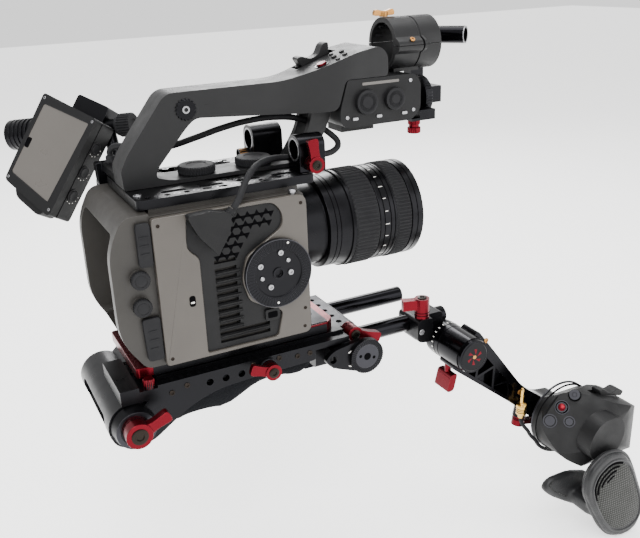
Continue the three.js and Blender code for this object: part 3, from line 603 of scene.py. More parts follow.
# ------------------------------------------------------------------ camera body
@dataclass
class CameraBody:
    """The camera's core, side panel, grille, rosette and port doors."""

    panel_y: float = -57.5
    grille_y: float = -55.5
    slat_top: float = 14.3
    slat_pitch: float = 6.4
    rosette: Tuple[float, float] = (123.7, 56.8)
    rosette_y: float = -61.5
    hole_radius: float = 3.1
    hole_pitch: float = 7.4
    rows: Tuple[Tuple[float, float, int], ...] = (
        (104.4, 92.5, 5), (97.6, 90.5, 5), (90.8, 87.0, 3), (84.0, 81.5, 3), (77.2, 77.8, 3))

    def right(self, x: float, z: float, y: float) -> Seat:
        """Returns a seat that faces out of the right panel at a place on it."""
        return Seat((x, y, z), (0, -1, 0), (1, 0, 0))

    def build(self) -> None:
        """Makes the hard shells of the body."""
        dress({
            "camera_body": (DARK_ENAMEL, Slot.DARK, 1.0),
            "right_side_panel": (BAKED_ENAMEL, Slot.PANEL, 0.9),
            "grip_rosette": (BLACK_ANODISED, Slot.DARK, 0.5),
            "upper_port_door": (SILICONE, Slot.RUBBER, 0.6),
            "lower_port_door": (SILICONE, Slot.RUBBER, 0.6),
            "media_door": (TEXTURED_ABS, Slot.DARK, 0.7),
            "quick_release_plate": (RED_ANODISED, Slot.RED, 0.6),
        })

    def louvres(self) -> None:
        """Gives the louvred backing its finish and adds a tapered slat between its slots."""
        paint("vent_grille", TEXTURED_ABS)
        slats = Form()
        for i in range(9):
            end = 115.5 if i < 1 else 94.5
            slat = Seat((0, 0, self.slat_top + self.slat_pitch * i), (1, 0, 0), (0, -1, 0))
            slats.prism(slat, [(55.4, 0), (56.9, 0.5), (56.9, 1.1), (55.4, 3.1)], 75.6, end)
        slats.piece("vent_slats", "camera", TEXTURED_ABS, Slot.DARK, 0.2)

    def honeycomb(self) -> None:
        """Sets rows of triangular vents, alternately up and down, above the louvres."""
        dark = Form()
        for z, start, count in self.rows:
            for i in range(count * 2 - 1):
                seat = self.right(start + i * self.hole_pitch / 2, z + (0.75 if i % 2 else -0.75),
                                  self.grille_y)
                dark.prism(seat, polygon(self.hole_radius, 3, 90 if i % 2 else -90), -0.4, 0.1)
        dark.piece("vent_holes", "camera", HOLLOW, Slot.DARK)

    def rosette_detail(self) -> None:
        """Adds the rosette's toothed ring, screws, pins, dots and thin rim."""
        x, z = self.rosette
        centre = self.right(x, z, self.rosette_y)
        teeth = Form()
        for i in range(60):
            angle = 2 * math.pi * i / 60
            spot = centre.shifted(23.3 * math.cos(angle), 23.3 * math.sin(angle), -0.1)
            out = (math.cos(angle), 0, math.sin(angle))
            tooth = Seat(spot.at, (0, -1, 0), out)
            teeth.prism(tooth, [(-3, -0.55), (3, -0.8), (3, 0.8), (-3, 0.55)], -0.2, 0.35)
        teeth.piece("rosette_teeth", "camera", BLACK_ANODISED, Slot.DARK)
        Form().turned(centre, ring(27.3, 26.75, -2.2, 0.1), 64, loop=True).piece(
            "rosette_rim", "camera", GREY_ANODISED, Slot.DARK)
        sunk = self.rosette_y + 1.2
        screws = Form()
        for sx, sz in ((109, 65), (126, 73), (133.6, 56), (116.4, 47)):
            screws.turned(self.right(sx, sz, sunk), screw(2.3, 1.3), 24)
        screws.piece("rosette_screws", "camera", PLATED_STEEL, Slot.DARK)
        pins = Form()
        for sx, sz in ((132, 66), (110, 55)):
            pins.turned(self.right(sx, sz, sunk), disc(1.7, -0.2, 1.6, 0.5), 20)
        pins.piece("rosette_pins", "camera", PLATED_STEEL, Slot.DARK)
        dots = Form()
        for sx, sz in ((132, 80.2), (121.6, 33.4)):
            dots.turned(self.right(sx, sz, self.rosette_y), disc(0.9, -0.2, 0.55, 0.1), 16)
        dots.piece("rosette_dots", "camera", WHITE_MARK, Slot.DARK)
        Form().turned(centre.shifted(0, 0, 1.9 - 3), ring(4.6, 3.5, 0, 0.8), 28, loop=True).piece(
            "rosette_centre_ring", "camera", BLACK_ANODISED, Slot.DARK)

    def ports(self) -> None:
        """Adds the side's port, switch, screws and stud, the rear terminals and the door pulls."""
        Form().prism(self.right(118, 22.8, self.panel_y), rounded(12, 9.4, 1.6), -3, 0.15).piece(
            "small_port_frame", "camera", TEXTURED_ABS, Slot.DARK, 0.3)
        Form().prism(self.right(118, 22.8, self.panel_y), rounded(8, 5, 1.2), -2, 0.35).piece(
            "small_port_mouth", "camera", HOLLOW, Slot.DARK)
        Form().prism(self.right(55.5, 48, self.panel_y), rounded(4.6, 8.4, 1.8), -1, 0.25).piece(
            "side_switch_slot", "camera", HOLLOW, Slot.DARK)
        Form().prism(self.right(55.5, 47, self.panel_y), rounded(2.8, 1.2, 0.4), -0.5, 0.8).piece(
            "side_switch", "camera", WHITE_MARK, Slot.DARK, 0.2)
        screws = Form()
        for x, z in ((36, 109), (146, 108), (36, 6), (145, 6.5), (146, 22)):
            screws.turned(self.right(x, z, self.panel_y), screw(1.35, 0.4), 20)
        screws.piece("panel_screws", "camera", BLACK_OXIDE, Slot.PANEL)
        terminals, cores = Form(), Form()
        for x, z in ((19.8, 71.5), (19, 50.7)):
            seat = self.right(x, z, -58.5)
            terminals.turned(seat, [(6.9, -4), (6.9, -0.4), (6.1, 0.4), (4.6, 0.4), (4.6, -4)], 28,
                             teeth=24, depth=0.35, loop=True)
            cores.turned(seat, [(0, -0.5), (4.6, -0.5), (4.4, 0.2), (2.4, 0.9), (0, 1.1)], 24)
        terminals.piece("terminal_rings", "camera", SILICONE, Slot.DARK)
        cores.piece("terminal_cores", "camera", SILICONE, Slot.DARK)
        Form().turned(Seat((141.5, -52.6, 108)), [
            (0, 0), (2.8, 0), (2.8, 4.6), (1.9, 5.2), (1.9, 7.4), (2.9, 8), (2.9, 9.8), (2.3, 10.4),
            (0, 10.4)], 28).piece("strap_stud", "camera", PLATED_STEEL, Slot.DARK)
        pulls = Form()
        for x, z, height in ((25.6, 96, 20), (24.6, 24, 22)):
            for i in range(3):
                pulls.prism(self.right(x, z + (i - 1) * height / 3.2, -56), rounded(6.5, 1.1, 0.5, 2),
                            -0.3, 0.45)
        pulls.piece("door_pull_ribs", "camera", SILICONE, Slot.RUBBER)

    def rear(self) -> None:
        """Adds the battery bay's contact block, contacts and rails."""
        back = Seat((27, 0, 58), (-1, 0, 0), (0, 1, 0))
        Form().prism(back, rounded(26, 12, 2), -0.4, 3.0).piece(
            "battery_contact_block", "camera", SOFT_NYLON, Slot.DARK, 0.5)
        contacts = Form()
        for i in range(4):
            contacts.prism(back.shifted(-9 + 6 * i, 0), rounded(2.2, 6, 0.5, 2), 3.0, 3.6)
        contacts.piece("battery_contacts", "camera", GOLD_PLATE, Slot.DARK)
        rails = Form()
        for side in (-1, 1):
            rails.prism(back.shifted(side * 38, 0), rounded(4, 74, 1.5), -0.4, 4.0)
        rails.piece("battery_rails", "camera", PLATED_STEEL, Slot.DARK, 0.4)

    def make(self) -> None:
        """Builds and dresses the body."""
        self.build()
        self.louvres()
        self.honeycomb()
        self.rosette_detail()
        self.ports()
        self.rear()


# ------------------------------------------------------------------ lens
@dataclass
class Lens:
    """The lens barrel with its two ribbed rings."""

    axis_z: float = 71.5
    ring_radius: float = 41.7
    seat_radius: float = 37.3

    def along(self, x: float) -> Seat:
        """Returns a seat on the optical axis that looks forward."""
        return Seat((x, 0, self.axis_z), (1, 0, 0), (0, 0, 1))

    def make(self) -> None:
        """Builds the barrel, the ribbed rings, their marks and the front."""
        dress({"lens_barrel": (BLACK_ANODISED, Slot.BLACK, 0.4),
               "front_glass": (COATED_GLASS, Slot.GLASS, 0.2)})
        for node, start, end, teeth in (("zoom_ring", 204, 226, 72), ("focus_ring", 243, 257, 88)):
            length = end - start
            Form().turned(self.along(start), [
                (self.seat_radius, 0), (self.ring_radius - 1.3, 0), (self.ring_radius, 1.2),
                (self.ring_radius, length - 1.2), (self.ring_radius - 1.3, length),
                (self.seat_radius, length)], teeth=teeth, depth=0.9, loop=True).piece(
                node + "_ribbed", node, SILICONE, Slot.RUBBER, 0.0, [node])
        grooves = Form()
        for x in (186, 190, 200, 230, 236, 240, 262):
            radius = 39.0 if x < 194 else 41.1 if x < 260 else 41.55
            grooves.turned(self.along(x), ring(radius + 0.05, radius - 0.6, 0, 0.7), 72, loop=True)
        grooves.piece("barrel_grooves", "camera", HOLLOW, Slot.BLACK)
        mount = Form().turned(self.along(154.4), ring(36.4, 35, 0, 3.4), 64, loop=True)
        mount.piece("lens_mount_ring", "camera", PLATED_STEEL, Slot.BLACK, 0.3)
        marks = Form()
        for i in range(24):
            angle = 2 * math.pi * i / 24
            spot = (232.5, -41.0 * math.cos(angle), self.axis_z + 41.0 * math.sin(angle))
            out = (0, -math.cos(angle), math.sin(angle))
            marks.prism(Seat(spot, out, (1, 0, 0)), rounded(2.6 if i % 3 else 4.2, 0.5, 0.2, 2), -0.1, 0.12)
        marks.piece("barrel_scale_marks", "camera", WHITE_MARK, Slot.BLACK)


# ------------------------------------------------------------------ handle
@dataclass
class TopHandle:
    """The top plate, its rod clamps and the carrying handle with its controls."""

    plate_top: float = 125.0
    pod: Seat = field(default_factory=lambda: Seat((178, 0, 197), (-0.327, 0, 0.945), (0.945, 0, 0.327)))

    def on_pod(self, x: float, y: float, lift: float = 0.0) -> Seat:
        """Returns a seat on the pod's sloping top."""
        return self.pod.shifted((x - 178) / 0.945, y, lift)

    def build(self) -> None:
        """Makes the hard shells."""
        dress({
            "top_plate": (BLACK_ANODISED, Slot.BLACK, 0.4),
            "rod_clamp_right": (GLOSS_ANODISED, Slot.BLACK, 0.4),
            "rod_clamp_left": (BLACK_ANODISED, Slot.BLACK, 0.4),
            "handle": (SOFT_NYLON, Slot.SOFT, 1.4),
            "zoom_rocker": (SOFT_NYLON, Slot.SOFT, 0.5),
            "handle_record_button": (RED_ANODISED, Slot.RED, 0.4),
        })

    def knobs(self) -> None:
        """Makes the two knurled thumb knobs under the handle."""
        for node, x in (("rear_thumb_knob", 86), ("front_thumb_knob", 133)):
            Form().turned(Seat((x, 0, 128.5)), [
                (0, 0), (13.6, 0), (14.5, 0.8), (14.5, 5.4), (13.4, 6.2), (8, 6.2), (7.4, 5.8), (0, 5.8)],
                teeth=40, depth=0.8).piece(node + "_knurled", node, SILICONE, Slot.RUBBER, 0.0, [node])

    def plate_detail(self) -> None:
        """Adds the plate's slots, thread inserts and screws."""
        slots, inserts, screws = Form(), Form(), Form()
        for side in (-1, 1):
            for i in range(4):
                slots.prism(Seat((57.5 + 29 * i, side * 30.5, self.plate_top)), rounded(19, 5.4, 2.6),
                            -0.4, 0.1)
            for i in range(9):
                inserts.turned(Seat((43.2 + 14.5 * i, side * 38.5, self.plate_top)),
                               ring(2.6, 1.7, -0.5, 0.12), 16, loop=True)
            for x in (31, 161):
                screws.turned(Seat((x, side * 30, self.plate_top)), screw(3.1, 0.9), 24)
        slots.piece("plate_slots", "camera", HOLLOW, Slot.BLACK)
        inserts.piece("plate_inserts", "camera", PLATED_STEEL, Slot.BLACK)
        screws.piece("plate_screws", "camera", PLATED_STEEL, Slot.BLACK)

    def handle_detail(self) -> None:
        """Adds the strut's rosette boss, threaded hole, seams, and the pod's small buttons."""
        boss = Seat((77.5, -13.2, 179), (0, -1, 0), (1, 0, 0))
        form = Form().turned(boss, [(0, -2), (8.2, -2), (8.2, 1.2), (7.6, 1.8), (3.6, 1.8), (3.6, 0.6),
                                    (0, 0.6)], teeth=18, depth=0.9)
        form.piece("handle_boss", "camera", BLACK_ANODISED, Slot.SOFT, 0.0)
        Form().turned(boss, screw(3.1, 2.0), 24).piece(
            "handle_boss_screw", "camera", PLATED_STEEL, Slot.SOFT)
        hole = Seat((44, -13.3, 152), (0, -1, 0), (1, 0, 0))
        Form().turned(hole, ring(2.9, 1.9, -0.5, 0.25), 20, loop=True).piece(
            "strut_insert", "camera", PLATED_STEEL, Slot.SOFT)
        Form().turned(hole, disc(1.9, -0.5, 0.1, 0.05), 16).piece(
            "strut_insert_hole", "camera", HOLLOW, Slot.SOFT)
        knobs = Form()
        for x, y, radius, rise in ((203, -10, 2.3, 1.6), (209, -17, 2.1, 1.4), (201, -20, 1.9, 1.2),
                                   (212, -6, 2.1, 1.4), (206, 0, 1.7, 1.2), (181, 12, 2.0, 1.2)):
            knobs.turned(self.on_pod(x, y, -0.2), disc(radius, -0.4, rise, 0.4), 20)
        knobs.piece("pod_buttons", "camera", TEXTURED_ABS, Slot.SOFT)
        Form().turned(self.on_pod(190, -14, -0.4), ring(5.9, 4.55, -0.3, 0.9), 36, loop=True).piece(
            "record_button_collar", "camera", GLOSS_ANODISED, Slot.SOFT, 0.2)
        seams = Form()
        for side in (-1, 1):
            seams.tube([(x, side * 13.72, 181) for x in (92, 110, 130, 150)], 0.32, 6)
        seams.piece("handle_seams", "camera", HOLLOW, Slot.SOFT)

    def clamp_detail(self) -> None:
        """Adds bore rings, the pinch slots and the left clamp's bronze knob."""
        rings, slots = Form(), Form()
        for y, start, end in ((-30, 155, 177), (30, 142, 168)):
            for x, way in ((start, -1), (end, 1)):
                rings.turned(Seat((x, y, 142), (way, 0, 0), (0, 0, 1)), ring(9.2, 7.85, -0.3, 0.25), 36,
                             loop=True)
            slots.prism(Seat(((start + end) / 2, y - 10.5, 131), (0, -1, 0), (1, 0, 0)),
                        rounded(end - start - 1, 0.9, 0.3, 2), -0.4, 0.08)
        rings.piece("clamp_bore_rings", "camera", PLATED_STEEL, Slot.BLACK, 0.1)
        slots.piece("clamp_slots", "camera", HOLLOW, Slot.BLACK)
        Form().turned(Seat((132, 30, 130.6), (-1, 0, 0), (0, 0, 1)), [
            (0, -8), (4.3, -8), (4.5, -6), (4.5, -0.6), (3.6, 0), (0, 0)], teeth=14, depth=0.5).piece(
            "clamp_bronze_knob", "camera", BRONZE, Slot.BLACK)

    def make(self) -> None:
        """Builds and dresses the top."""
        self.build()
        self.knobs()
        self.plate_detail()
        self.handle_detail()
        self.clamp_detail()


# ------------------------------------------------------------------ audio unit
@dataclass
class AudioUnit:
    """The audio box, microphone holder and front accessory bracket."""

    mic_z: float = 211.0
    rod_way: Point = (0.602, -0.799, 0)
    rod_tip: Point = (337, 0, 213)
    flange: Point = (292.5, 0, 166)

    def make(self) -> None:
        """Builds and dresses the unit."""
        dress({
            "audio_box": (TEXTURED_ABS, Slot.DARK, 0.9),
            "mic_holder_lower": (SOFT_NYLON, Slot.SOFT, 0.6),
            "mic_holder_cap": (SOFT_NYLON, Slot.SOFT, 0.6),
            "mic_thumbscrew": (BRONZE, Slot.BRASS, 0.4),
            "front_accessory_bracket": (BLACK_ANODISED, Slot.BLACK, 0.6),
            "handle_rod": (GLOSS_ANODISED, Slot.BLACK, 0.5),
        })
        self.sockets()
        self.holder_detail()
        self.bracket_detail()

    def sockets(self) -> None:
        """Adds the two capped sockets' rims and ribs and the box's plain labels."""
        for name, x, radius in (("rear", 222, 9.6), ("front", 248, 8.8)):
            seat = Seat((x, -29.5, 171), (0, -1, 0), (1, 0, 0))
            Form().turned(seat, [(0, -2), (radius, -2), (radius, 0.1), (radius - 1.4, 0.7),
                                 (radius - 2.4, 0.2), (radius - 4.6, 0.2), (radius - 5.2, 0.6), (0, 0.6)],
                          36).piece(f"{name}_socket_cap", "camera", SILICONE, Slot.DARK)
            ribs = Form()
            for k in range(3):
                ribs.turned(seat, ring(radius - 2.7 - 0.8 * k, radius - 3.0 - 0.8 * k, 0, 0.55), 32,
                            loop=True)
            ribs.piece(f"{name}_socket_ribs", "camera", SILICONE, Slot.DARK)
        side = Seat((236, -26, 185), (0, -1, 0), (1, 0, 0))
        Form().prism(side, rounded(34, 2.2, 0.8, 2), -0.2, 0.12).piece(
            "audio_label_strip", "camera", DISPLAY_FILM, Slot.DARK)
        switches = Form()
        for x in (212, 234, 258):
            switches.prism(Seat((x, -26, 158.5), (0, -1, 0), (1, 0, 0)), rounded(5, 2.4, 0.8, 2), -0.3, 1.1)
        switches.piece("audio_switches", "camera", PLATED_STEEL, Slot.DARK, 0.25)
        screws = Form()
        for x, z in ((205, 160), (267, 160), (264, 184)):
            screws.turned(Seat((x, -26, z), (0, -1, 0), (1, 0, 0)), screw(1.5, 0.5), 18)
        screws.piece("audio_screws", "camera", PLATED_STEEL, Slot.DARK)

    def holder_detail(self) -> None:
        """Adds the holder's soft inner bumps and its hinge screws."""
        for part, body, low, high in (("lower", "camera", 200, 340), ("cap", "mic_holder_cap", 20, 160)):
            bumps = Form()
            steps = 4
            for i in range(steps + 1):
                angle = math.radians(low + (high - low) * i / steps)
                centre = (0, 16.6 * math.cos(angle), self.mic_z + 16.6 * math.sin(angle))
                for x in (260, 284):
                    bumps.turned(Seat((x, centre[1], centre[2]), (1, 0, 0), (0, 0, 1)),
                                 [(0, -4), (1.5, -3.4), (1.5, 3.4), (0, 4)], 12)
            bumps.piece(f"mic_{part}_bumps", body, SILICONE, Slot.SOFT)
        Form().turned(Seat((266, -25.4, self.mic_z + 4.6), (0, -0.55, 0.84), (1, 0, 0)), screw(2.2, 0.9),
                      20).piece("mic_hinge_screw", "mic_holder_cap", BRONZE, Slot.SOFT)

    def bracket_detail(self) -> None:
        """Adds the flange's knurl and red screw, the clamp's screws and the lower knob."""
        seat = Seat(self.flange, (1, 0, 0), (0, 0, 1))
        Form().turned(seat, [(12.5, -6.3), (16.6, -6.3), (17.3, -5.6), (17.3, -0.6), (16.6, 0.1),
                             (12.5, 0.1)], teeth=44, depth=0.7, loop=True).piece(
            "flange_knurl", "camera", BLACK_ANODISED, Slot.BLACK)
        Form().turned(seat, screw(4.2, 1.6), 28).piece("flange_red_screw", "camera", RED_ANODISED, Slot.RED)
        head = Vector(self.rod_tip) - Vector(self.rod_way).normalized() * 38
        Form().turned(Seat(tuple(head), self.rod_way, (0, 0, 1)), ring(11.2, 7.9, -1.2, 0.3), 40,
                      loop=True).piece("rod_head_ring", "camera", GLOSS_ANODISED, Slot.BLACK, 0.2)
        Form().turned(Seat(self.rod_tip, self.rod_way, (0, 0, 1)), ring(7.4, 6.1, -1.4, 0.15), 36,
                      loop=True).piece("rod_tip_ring", "handle_rod", PLATED_STEEL, Slot.BLACK, 0.1)
        Form().turned(Seat((307.5, 42, 190), (0, 1, 0), (1, 0, 0)), screw(2.6, 1.2), 20).piece(
            "post_screw", "camera", PLATED_STEEL, Slot.BLACK)
        Form().turned(Seat((273.5, -17, 138.6)), [
            (0, 0), (5, 0), (5.6, 0.6), (5.6, 4.6), (4.4, 5.4), (4.4, 7.0), (5.2, 7.6), (5.2, 10.7),
            (0, 10.7)], teeth=20, depth=0.5).piece(
            "accessory_knob_knurled", "accessory_knob", RED_ANODISED, Slot.RED, 0.0, ["accessory_knob"])


# ------------------------------------------------------------------ monitor
@dataclass
class Monitor:
    """The monitor, its screen, side buttons, tilt block, arm and knob."""

    at: Point = (-8, 106.4, 134.9)
    right: Point = (0.533, -0.792, -0.296)
    face: Point = (-0.635, -0.606, 0.479)
    bar_left: Tuple[float, float, float] = (-62, 5.5, -35)
    bar_right: Tuple[float, float, float] = (26, 49, -35)

    def seat(self) -> Seat:
        """Returns the frame of the monitor's face."""
        return Seat(self.at, self.face, self.right)

    def side(self, v: float) -> Seat:
        """Returns a seat on the monitor's right side at height v."""
        face = self.seat()
        return Seat(face.point(31, v, -15.5), self.right, self.face)

    def on_bar(self, share: float) -> Seat:
        """Returns a seat along the crossbar, which it follows."""
        start, end = (Vector(self.seat().point(*p)) for p in (self.bar_left, self.bar_right))
        return Seat(tuple(start.lerp(end, share)), tuple((end - start).normalized()), self.face)

    def make(self) -> None:
        """Builds and dresses the monitor."""
        dress({
            "monitor_housing": (TEXTURED_ABS, Slot.DARK, 1.4),
            "monitor_tilt_block": (BLACK_ANODISED, Slot.BLACK, 0.7),
            "monitor_arm": (BLACK_ANODISED, Slot.BLACK, 0.6),
            "monitor_bracket": (BLACK_ANODISED, Slot.BLACK, 0.6),
            "monitor_screen": (DISPLAY_FILM, Slot.SCREEN, 0.2),
        })
        self.screen()
        self.buttons()
        self.clamp_detail()

    def screen(self) -> None:
        """Adds the bezel lip, the film's notch and the housing's back ribs and screws."""
        face = self.seat()
        Form().prism(face.shifted(-22.6, 2.5, -0.4), rounded(4.6, 9, 1.2), -0.2, 0.14).piece(
            "screen_film_notch", "monitor", HOLLOW, Slot.SCREEN)
        edge = [(-25.3, -25.8), (21.8, -34.8), (25.0, 38.3), (-25.3, 37.8)]
        Form().tube([face.point(u, v, -0.2) for u, v in edge], 0.45, 6, closed=True).piece(
            "screen_gasket", "monitor", SILICONE, Slot.DARK)
        Form().tube([face.point(u, v, -9.5) for u, v in
                     ((-29.9, 44.4), (29.9, 42.6), (29.0, -43.2), (-28.0, -32.8))], 0.42, 6,
                    closed=True).piece("housing_seam", "monitor", HOLLOW, Slot.DARK)
        screws = Form()
        for u, v in ((-26, 41), (26, 39.5), (25, -38.5), (-24.5, -29.5)):
            screws.turned(face.shifted(u * 1.04, v * 1.03, -0.1), screw(1.2, 0.35), 16)
        screws.piece("bezel_screws", "monitor", PLATED_STEEL, Slot.DARK)
        back = Seat(face.point(0, 0, -27), tuple(-c for c in self.face), self.right)
        ribs = Form()
        for i in range(7):
            ribs.prism(back.shifted(0, 8 + 4 * i - 26), rounded(30, 1.6, 0.7, 2), -0.3, 0.7)
        ribs.piece("housing_back_ribs", "monitor", TEXTURED_ABS, Slot.DARK)

    def buttons(self) -> None:
        """Replaces the three side buttons, rings their bores and marks them with white ticks."""
        for name, v in (("top", 22.0), ("middle", 0.0), ("bottom", -21.5)):
            node = f"monitor_button_{name}"
            Form().turned(self.side(v), [(0, -3.2), (4.5, -3.2), (4.5, -0.6), (4.0, 0), (2.4, -0.25),
                                         (0, -0.35)], 32).piece(
                node + "_domed", node, SILICONE, Slot.RUBBER, 0.0, [node])
            Form().turned(self.side(v).shifted(0, 0, -1.6), ring(5.7, 4.95, -0.6, 0.9), 40,
                          loop=True).piece(f"button_ring_{name}", "monitor", SOFT_NYLON, Slot.DARK, 0.15)
            ticks = Form()
            for k in range(5):
                angle = math.radians(60 + 30 * k)
                spot = self.side(v).shifted(7.0 * math.cos(angle), 7.0 * math.sin(angle), -0.1)
                ticks.turned(spot, disc(0.4, -1.0, -0.75, 0.05), 10)
            ticks.piece(f"button_ticks_{name}", "monitor", WHITE_MARK, Slot.DARK)

    def clamp_detail(self) -> None:
        """Ribs the big clamp cylinder and the knob, and adds their screws."""
        big = self.on_bar(-0.1)
        collars = Form()
        for i in range(5):
            collars.turned(big.shifted(0, 0, 3.5 + 4.3 * i), ring(13.75, 12.2, 0, 1.8), 48, loop=True)
        collars.piece("clamp_collars", "monitor_arm", BLACK_ANODISED, Slot.BLACK, 0.3)
        out = Seat(big.at, tuple(-c for c in big.up), big.lean)
        Form().turned(out, screw(5.2, 0.9), 28).piece(
            "clamp_end_screw", "monitor_arm", PLATED_STEEL, Slot.BLACK)
        length = (Vector(self.on_bar(1.15).at) - Vector(self.on_bar(1.0).at)).length
        Form().turned(self.on_bar(1.0), [
            (0, 0.1), (8.6, 0.1), (8.6, 2.2), (10, 2.8), (10, length - 1), (9, length), (5, length),
            (4.4, length - 0.8), (0, length - 0.8)], teeth=26, depth=0.9).piece(
            "monitor_knob_knurled", "monitor_knob", SILICONE, Slot.RUBBER, 0.0, ["monitor_knob"])
        Form().turned(Seat((36, 70.4, 112), (0, -1, 0), (1, 0, 0)), ring(12.8, 9.5, -2.0, -0.1), 40,
                      loop=True).piece("arm_hinge_ring", "monitor_arm", PLATED_STEEL, Slot.BLACK, 0.1)


# ------------------------------------------------------------------ levers
@dataclass(frozen=True)
class Lever:
    """A clamping lever: a grooved barrel with a black oxide screw, and a tapered arm."""

    node: str
    at: Point
    up: Point
    lean: Point
    radius: float
    height: float

    def make(self) -> None:
        """Builds the lever's shell, its barrel grooves and its screw."""
        shell(self.node, RED_ANODISED, Slot.RED, 0.8)
        seat = Seat(self.at, self.up, self.lean)
        grooves = Form()
        for share in (0.14, 0.28):
            grooves.turned(seat.shifted(0, 0, self.height * share),
                           ring(self.radius + 0.06, self.radius - 0.5, 0, 0.7), 40, loop=True)
        grooves.piece(self.node + "_grooves", self.node, HOLLOW, Slot.RED)
        top = seat.shifted(0, 0, self.height)
        Form().turned(top, [(0, -0.5), (self.radius * 0.62, -0.5), (self.radius * 0.62, 0.5),
                            (self.radius * 0.54, 0.8), (self.radius * 0.3, 0.8),
                            (self.radius * 0.27, 0.1), (0, 0.1)], 28).piece(
            self.node + "_screw", self.node, BLACK_OXIDE, Slot.BRASS)


LEVERS: Tuple[Lever, ...] = (
    Lever("rod_clamp_lever", (165, -40.8, 132.2), (0, -1, 0), (-0.12, 0, 1), 6.4, 9),
    Lever("rear_lever", (0, -67.7, -36), (0, -1, 0), (1, 0, 0.42), 10, 14),
    Lever("side_lever", (109, -65.6, -18), (0, -1, 0), (-1, 0, 0.35), 6.6, 9),
    Lever("front_lever", (190.5, -43.8, -12.5), (0, -1, 0), (1, 0, -0.38), 6.5, 14),
    Lever("arm_clamp_lever", (265.5, -43.6, -19.7), (0, 0, 1), (-1, 0.35, 0), 6.6, 18),
    Lever("wrist_lever", (361.9, -68, -137.6), (-0.2, 0, -1), (1, 0, -0.2), 6, 9),
)


